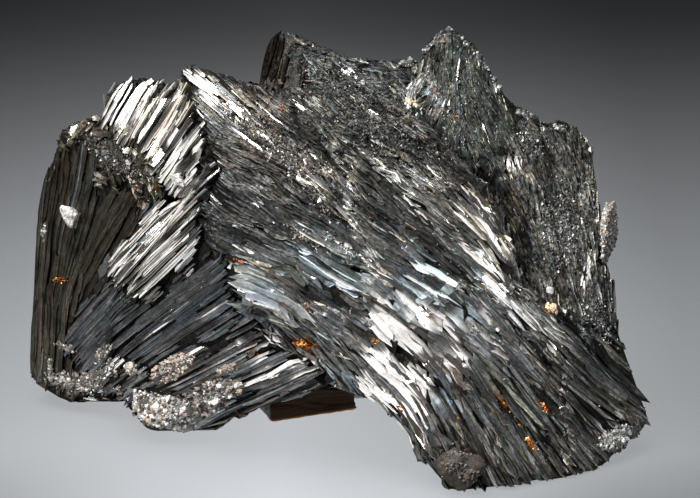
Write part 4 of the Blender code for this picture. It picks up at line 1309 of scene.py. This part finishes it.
GRAIN_FIELDS = {
    # Painted orange glints: grains tinted orange stand for warm glints on the metal.
    "orange_glint_grains": grain_field(ORANGE_GLINT_PLACES, 760, (ORANGE, RED_GLINT, YELLOW, RED_GLINT, SALMON),
        radius=0.12, slot="siderite"),
    "peak_shards": grain_field([
        (450, 31, 5, 3, 90), (440, 38, 9, 3, 50), (424, 52, 14, 3, 45), (408, 64, 9, 3, 10),
        (464, 42, 8, 3, -50), (480, 60, 14, 3, -52), (502, 90, 20, 3, -52), (526, 115, 14, 3, -20),
        (560, 128, 8, 3, 0), (578, 124, 9, 3, 0), (592, 150, 14, 3, -70)],
        700, (STEEL, GREY, SHADE, SHADE), radius=0.22, soft=0.3),
    "flank_grains": grain_field([
        (433, 86, 6, 20, 25), (440, 40, 5, 10, 0, 0.3)],
        420, (WHITE, STEEL, BEIGE, STEEL, PINK, SHADE, GREY), radius=0.14, soft=0.6),
    "straw_grains": grain_field([
        (411, 104, 9, 4, -25), (552, 308, 9, 4, -40)],
        150, (STRAW, STRAW, BEIGE), radius=0.2, soft=0.5, slot="quartz"),
    "beige_grains": grain_field([
        (172, 368, 26, 12, 30), (228, 369, 12, 6, 12)],
        1700, (BEIGE, PINK, GREY, UMBER, BEIGE, UMBER, GREY), radius=0.16, soft=0.4, slot="crust"),
    "white_grains": grain_field([
        (206, 398, 36, 20, 25), (158, 412, 9, 9, 0), (145, 398, 6, 9, 0), (131, 368, 6, 7, 0)],
        3400, (WHITE, GREY, PINK, BEIGE, GREY, UMBER, SHADE, GREY), radius=0.17, soft=0.4,
        slot="crust"),
    "white_chips": grain_field([
        (209, 383, 7, 5, 20), (214, 399, 7, 4, 0), (240, 388, 4, 9, 0), (157, 407, 8, 3, 0),
        (156, 421, 7, 5, 0), (197, 421, 6, 4, 0), (130, 367, 4, 4, 0)],
        90, (WHITE, WHITE, BEIGE), radius=0.32, soft=0.3, slot="crust"),
    "grey_grains": grain_field([
        (620, 438, 26, 13, 20)],
        1700, (STEEL, GREY, DUSK, STEEL, SHADE, GREY), radius=0.15, soft=0.7, slot="crust"),
    "wing_foot_grains": grain_field([
        (103, 354, 14, 6, 40, 1.2), (113, 368, 7, 12, 20, 1.2), (94, 376, 24, 9, 20),
        (74, 383, 36, 11, -12), (50, 368, 5, 14, 10, 0.8), (64, 346, 16, 5, -30, 0.5),
        (120, 388, 12, 5, 0, 0.7), (43, 232, 4, 14, 0, 0.6)],
        1800, (DUSK, SHADE, UMBER, DUSK, GREY, UMBER), radius=0.17, slot="crust"),
    "lump_grains": grain_field([
        (452, 466, 16, 10, -30), (470, 474, 12, 12, 0), (458, 454, 24, 4, -5)],
        420, (UMBER, DUSK, UMBER, SHADE), radius=0.14, soft=0.7, slot="rock"),
    "flake_grains": grain_field([
        (608, 232, 13, 32, 0)],
        1000, (BEIGE, WHITE, GREY, GREY, UMBER), soft=0.3, slot="mica"),
    "ridge_grains": grain_field([
        (262, 136, 60, 18, -45), (302, 165, 36, 24, -45), (318, 200, 22, 10, -50, 1.2),
        (302, 236, 28, 8, -30, 0.8), (345, 252, 34, 9, -35, 0.8)],
        2800, (BEIGE, STEEL, SHADE, STEEL, UMBER, WHITE, SHADE)),
    "crown_grains": grain_field([
        (345, 85, 75, 28, -25), (380, 135, 75, 30, -30)],
        2000, (STEEL, SHADE, SHADE), soft=0.7),
    "shoulder_grains": grain_field([
        (565, 220, 42, 70, 0), (600, 320, 25, 40, 20), (530, 140, 30, 24, 0),
        (460, 110, 40, 70, 0, 0.4)],
        3000, (STEEL, SHADE, SHADE, GREY)),
    "slope_grains": grain_field([
        (540, 390, 105, 70, -35), (400, 250, 100, 45, -35)],
        1000, (STEEL, SHADE, UMBER), radius=0.1, soft=0.1),
    "wing_crown_grains": grain_field([
        (112, 158, 48, 14, -35)],
        700, (STEEL, SHADE, UMBER, SHADE), radius=0.16, soft=0.7),
}
CRUST_GRAINS = 4600
CRUST_RADIUS = 0.22
CRUST_COVERED = 0.6 * MM  # crust this far inside the guide surface gets no grains
SMALL_GRAIN, LARGE_GRAIN = 0.15, 0.3  # radii from which grains have four and five sides
GRAIN_PROUD = 0.3
CORNER_REACH = (0.7, 1.25)
SIZE_SPREAD = 0.4
GRAIN_STRETCH = (0.6, 1.4)
FACE_SHADE = (0.6, 1.15)
MOST_GRAIN_TINT = 0.95


def grain_shape(around):
    """A chunky grain: a pole, two rings of corners half a step apart, and a pole."""
    k = np.arange(around)
    after = (k + 1) % around
    level, reach, step = 1 / math.sqrt(5), 2 / math.sqrt(5), 2 * math.pi / around
    rings = [np.stack([reach * np.cos(turn), reach * np.sin(turn), 0 * k + height], 1)
             for turn, height in ((step * k, level), (step * (k + 0.5), -level))]
    corners = np.concatenate([[(0, 0, 1)], *rings, [(0, 0, -1)]])
    upper, lower, pole = 1, 1 + around, 1 + 2 * around
    faces = [np.stack([0 * k, upper + k, upper + after], 1),
             np.stack([upper + k, lower + k, upper + after], 1),
             np.stack([upper + after, lower + k, lower + after], 1),
             np.stack([0 * k + pole, lower + after, lower + k], 1)]
    return corners, np.concatenate(faces)


def grain_piece(name, places, normals, radius, colours, material):
    """Grains in one mesh, half sunk: the grain shape, each corner drawn in or out by chance,
    stretched along random axes and turned to its place's normal."""
    count = len(places)
    corners, faces = grain_shape(3 + (radius >= SMALL_GRAIN) + (radius >= LARGE_GRAIN))
    corners = corners * RANDOM.uniform(*CORNER_REACH, (count, len(corners), 1))
    size = radius * MM * RANDOM.lognormal(0, SIZE_SPREAD, (count, 1))
    half = size * RANDOM.uniform(*GRAIN_STRETCH, (count, 3))
    side = unit(np.cross(normals, unit(RANDOM.normal(0, 1, (count, 3)))))
    axes = np.stack([side, np.cross(normals, side), normals], 1)
    points = places[:, None] + normals[:, None] * (size * GRAIN_PROUD)[:, None] \
        + np.einsum("nki,nij->nkj", corners * half[:, None], axes)
    points[..., 2] = np.maximum(points[..., 2], 0.0)
    triangles = faces[None] + (np.arange(count) * corners.shape[1])[:, None, None]
    mesh = make_mesh(name, points.reshape(-1, 3), triangles.reshape(-1, 3))
    tint = np.array(colours)[RANDOM.integers(0, len(colours), count)]
    tint = tint[:, None] * RANDOM.uniform(*FACE_SHADE, (count, len(faces), 1))
    rgba = np.ones((count, len(faces), 3, 4), np.float32)
    rgba[..., :3] = np.clip(tint, LEAST_TINT, MOST_GRAIN_TINT)[:, :, None]
    make_piece(name, mesh, material, rgba)


def scatter(field, tree, normals):
    """Random points of a field's places, dropped along the sight lines onto the ground.

    A place draws points by its length * breadth * weight. They lie in an ellipse round it."""
    spread = np.array(field["places"], float)
    share = spread[:, 2] * spread[:, 3] * spread[:, 5]
    number = field["number"]
    pick = RANDOM.choice(len(spread), number, p=share / share.sum())
    reach = np.sqrt(RANDOM.random(number)) * RANDOM.uniform(1 - field["soft"], 1, number)
    turn = RANDOM.uniform(0, 2 * math.pi, number)
    along = reach * np.cos(turn) * spread[pick, 2]
    across = reach * np.sin(turn) * spread[pick, 3]
    angle = np.radians(spread[pick, 4])
    x = spread[pick, 0] + along * np.cos(angle) + across * np.sin(angle)
    y = spread[pick, 1] - along * np.sin(angle) + across * np.cos(angle)
    hits = []
    for at in zip(x, y):
        place, _, index, _ = tree.ray_cast(*pixel_ray(*at))
        if place is not None:
            hits.append((*place, index))
    hits = np.array(hits)
    return hits[:, :3], normals[hits[:, 3].astype(int)]


def strew_grains(stones):
    """Grains of each field, on the guide surface, the crust and the seated minerals."""
    crust, crust_normal, crust_area = triangles_of(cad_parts["foot_crust"])
    ground = [(GUIDE, GUIDE_NORMAL)] + [triangles_of(obj)[:2] for obj in stones]
    ground.append((crust, crust_normal))
    normals = np.concatenate([normal for _, normal in ground])
    tree = tree_of(np.concatenate([triangles for triangles, _ in ground]))
    sugary = grain_finish("sugary_grains", 0.0, 0.3)
    steely = grain_finish("steely_grains", 1.0, 0.55)
    matte = grain_finish("matte_grains", 0.0, 0.75)
    finish = {"arsenopyrite": steely, "siderite": steely, "rock": matte}
    for name, field in GRAIN_FIELDS.items():
        places, facing = scatter(field, tree, normals)
        grain_piece(name, places, facing, field["radius"], field["colours"],
                    finish.get(field["slot"], sugary))
    places, pick = sow(crust, crust_area, CRUST_GRAINS)
    nearest, index = drop(places)
    outside = ((places - nearest) * GUIDE_NORMAL[index]).sum(1) > -CRUST_COVERED
    grain_piece("foot_crust_grains", places[outside], crust_normal[pick][outside], CRUST_RADIUS,
                (WHITE, GREY, BEIGE, GREY, UMBER, GREY, SHADE), sugary)


grow_laths()
STONE_FINISH = {
    "siderite_block": (brown_siderite(), "siderite"),
    "rock_lump": (mineral("brown_rock", 900.0, (0.010, 0.008, 0.006), (0.06, 0.046, 0.032), 0.75,
                          relief=0.6 * MM), "rock"),
    "edge_flake": (mineral("pearly_flake", 1100.0, (0.05, 0.048, 0.042), (0.36, 0.34, 0.30), 0.4,
                           grain=(1, 1, 0.4)), "mica"),
}
WHITE_QUARTZ = mineral("white_quartz", 1200.0, (0.22, 0.21, 0.21), (0.75, 0.73, 0.72), 0.3,
                       relief=0.5 * MM)
strew_grains([stone(name, form, *STONE_FINISH.get(name, (WHITE_QUARTZ, "quartz")))
              for name, form in STONES.items()])
# The mass shows only in the gaps between laths; its near-black colour is painted shade for them.
repaint(MASS, mineral("core_painted_shade", 900.0, (0.006, 0.006, 0.006), (0.035, 0.033, 0.03), 0.45,
                      metallic=0.9, relief=0.4 * MM))
repaint(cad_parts["foot_crust"],
        mineral("crust_ground", 1100.0, (0.04, 0.035, 0.03), (0.42, 0.38, 0.34), 0.6,
                relief=0.5 * MM))

# ---------------- floor and light

# Where the floor's painted shade begins and ends, in metres: near and far along Y, the others aside
# from its middle line.
FLOOR_HALF = 4.0
FLOOR_NEAR = -0.05
FLOOR_FAR = 0.24
FLOOR_SIDE = 0.065
FLOOR_NEAR_COLOUR = (0.83, 0.83, 0.84, 1)
FLOOR_FAR_PAINTED_SHADE = (0.05, 0.05, 0.051, 1)
MIDDLE_SHIFT = 0.008
MIDDLE_LEVEL, SIDE_LEVEL = 0.15, 0.083
CORNER_NEAR, CORNER_FAR = -0.038, -0.01
CORNER_INNER, CORNER_OUTER = 0.02, 0.05
CORNER_PAINTED_SHADE = 0.42
LIGHT_TARGET = Vector((0, 0, 0.028))
KEY_DISTANCE = 0.9
OVERHEAD = dict(place=(-0.2, -0.12, 1.0), size=1.0, colour=(0.93, 0.97, 1.0))
OVERHEAD_POWER = 11.0
FLOOR_WASH = 6.0
SKY = (0.5, 0.52, 0.55, 1)
SKY_STRENGTH = 0.12


def stage_material():
    """Floor with painted shade: pale in front and grey behind, darker to the sides and near corners,
    as light falling off would leave it.
    """
    material, tree, shader = new_material("floor_painted_falloff")
    place = add(tree, "ShaderNodeTexCoord")
    split = add(tree, "ShaderNodeSeparateXYZ")
    tree.links.new(place.outputs["Object"], split.inputs["Vector"])
    depth = add(tree, "ShaderNodeMapRange", interpolation_type="SMOOTHSTEP")
    depth.inputs["From Min"].default_value = FLOOR_NEAR
    depth.inputs["From Max"].default_value = FLOOR_FAR
    tree.links.new(split.outputs["Y"], depth.inputs["Value"])
    ramp = add(tree, "ShaderNodeValToRGB")
    ramp.color_ramp.elements[0].color = FLOOR_NEAR_COLOUR
    ramp.color_ramp.elements[1].color = FLOOR_FAR_PAINTED_SHADE
    tree.links.new(depth.outputs["Result"], ramp.inputs["Fac"])
    # Painted shade towards the sides and the near corners.
    aside = combine(tree, "ADD", split.outputs["X"], MIDDLE_SHIFT)
    aside = combine(tree, "ABSOLUTE", aside, 0.0)
    near = span(tree, split.outputs["Y"], CORNER_FAR, CORNER_NEAR, 0.0, 1.0)
    outer = span(tree, aside, CORNER_INNER, CORNER_OUTER, 0.0, CORNER_PAINTED_SHADE)
    corner = combine(tree, "MULTIPLY", near, outer)
    level = combine(tree, "MULTIPLY", span(tree, aside, 0.0, FLOOR_SIDE, MIDDLE_LEVEL, SIDE_LEVEL),
                    combine(tree, "SUBTRACT", 1.0, corner))
    paler = scaled(tree, ramp.outputs["Color"], level)
    tree.links.new(paler, shader.inputs["Base Color"])
    shader.inputs["Roughness"].default_value = 0.9
    shader.inputs["Specular IOR Level"].default_value = 0.0
    return material


def make_floor():
    """A broad level floor under the specimen."""
    mesh = bpy.data.meshes.new("floor")
    corners = [(x * FLOOR_HALF, y * FLOOR_HALF, 0) for x, y in ((-1, -1), (1, -1), (1, 1), (-1, 1))]
    mesh.from_pydata(corners, [], [(0, 1, 2, 3)])
    mesh.materials.append(stage_material())
    floor = bpy.data.objects.new("floor", mesh)
    bpy.context.scene.collection.objects.link(floor)
    floor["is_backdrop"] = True
    return floor


def area_light(name, place, size, power, colour, receivers=None):
    """A round light aimed at the specimen, for the objects of a collection where it has one."""
    data = bpy.data.lights.new(name, "AREA")
    data.shape = "DISK"
    data.size = size
    data.energy = power
    data.color = colour
    light = bpy.data.objects.new(name, data)
    light.location = place
    bpy.context.scene.collection.objects.link(light)
    aim(light, LIGHT_TARGET)
    light.light_linking.receiver_collection = receivers
    return light


def collected(name, objects):
    """A collection of objects."""
    collection = bpy.data.collections.new(name)
    for obj in objects:
        collection.objects.link(obj)
    return collection


def make_lights(floor):
    """A key light for the specimen, a broad one overhead, a wash for the floor and a faint sky."""
    area_light("key", KEY_LIGHT.normalized() * KEY_DISTANCE, size=0.26, power=14.5,
               colour=(1.0, 0.965, 0.92), receivers=collected("specimen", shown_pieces()))
    area_light("softbox", power=OVERHEAD_POWER, **OVERHEAD)
    stage = collected("stage", [floor])
    wash = area_light("floor_wash", power=OVERHEAD_POWER * FLOOR_WASH, receivers=stage, **OVERHEAD)
    wash.light_linking.blocker_collection = stage
    area_light("side", (0.7, -0.35, 0.3), size=0.25, power=0.8, colour=(0.9, 0.95, 1.0))
    world = bpy.data.worlds.new("studio")
    bpy.context.scene.world = world
    world.use_nodes = True
    background = world.node_tree.nodes["Background"]
    background.inputs["Color"].default_value = SKY
    background.inputs["Strength"].default_value = SKY_STRENGTH
    bpy.context.scene.view_settings.view_transform = "Standard"


make_lights(make_floor())
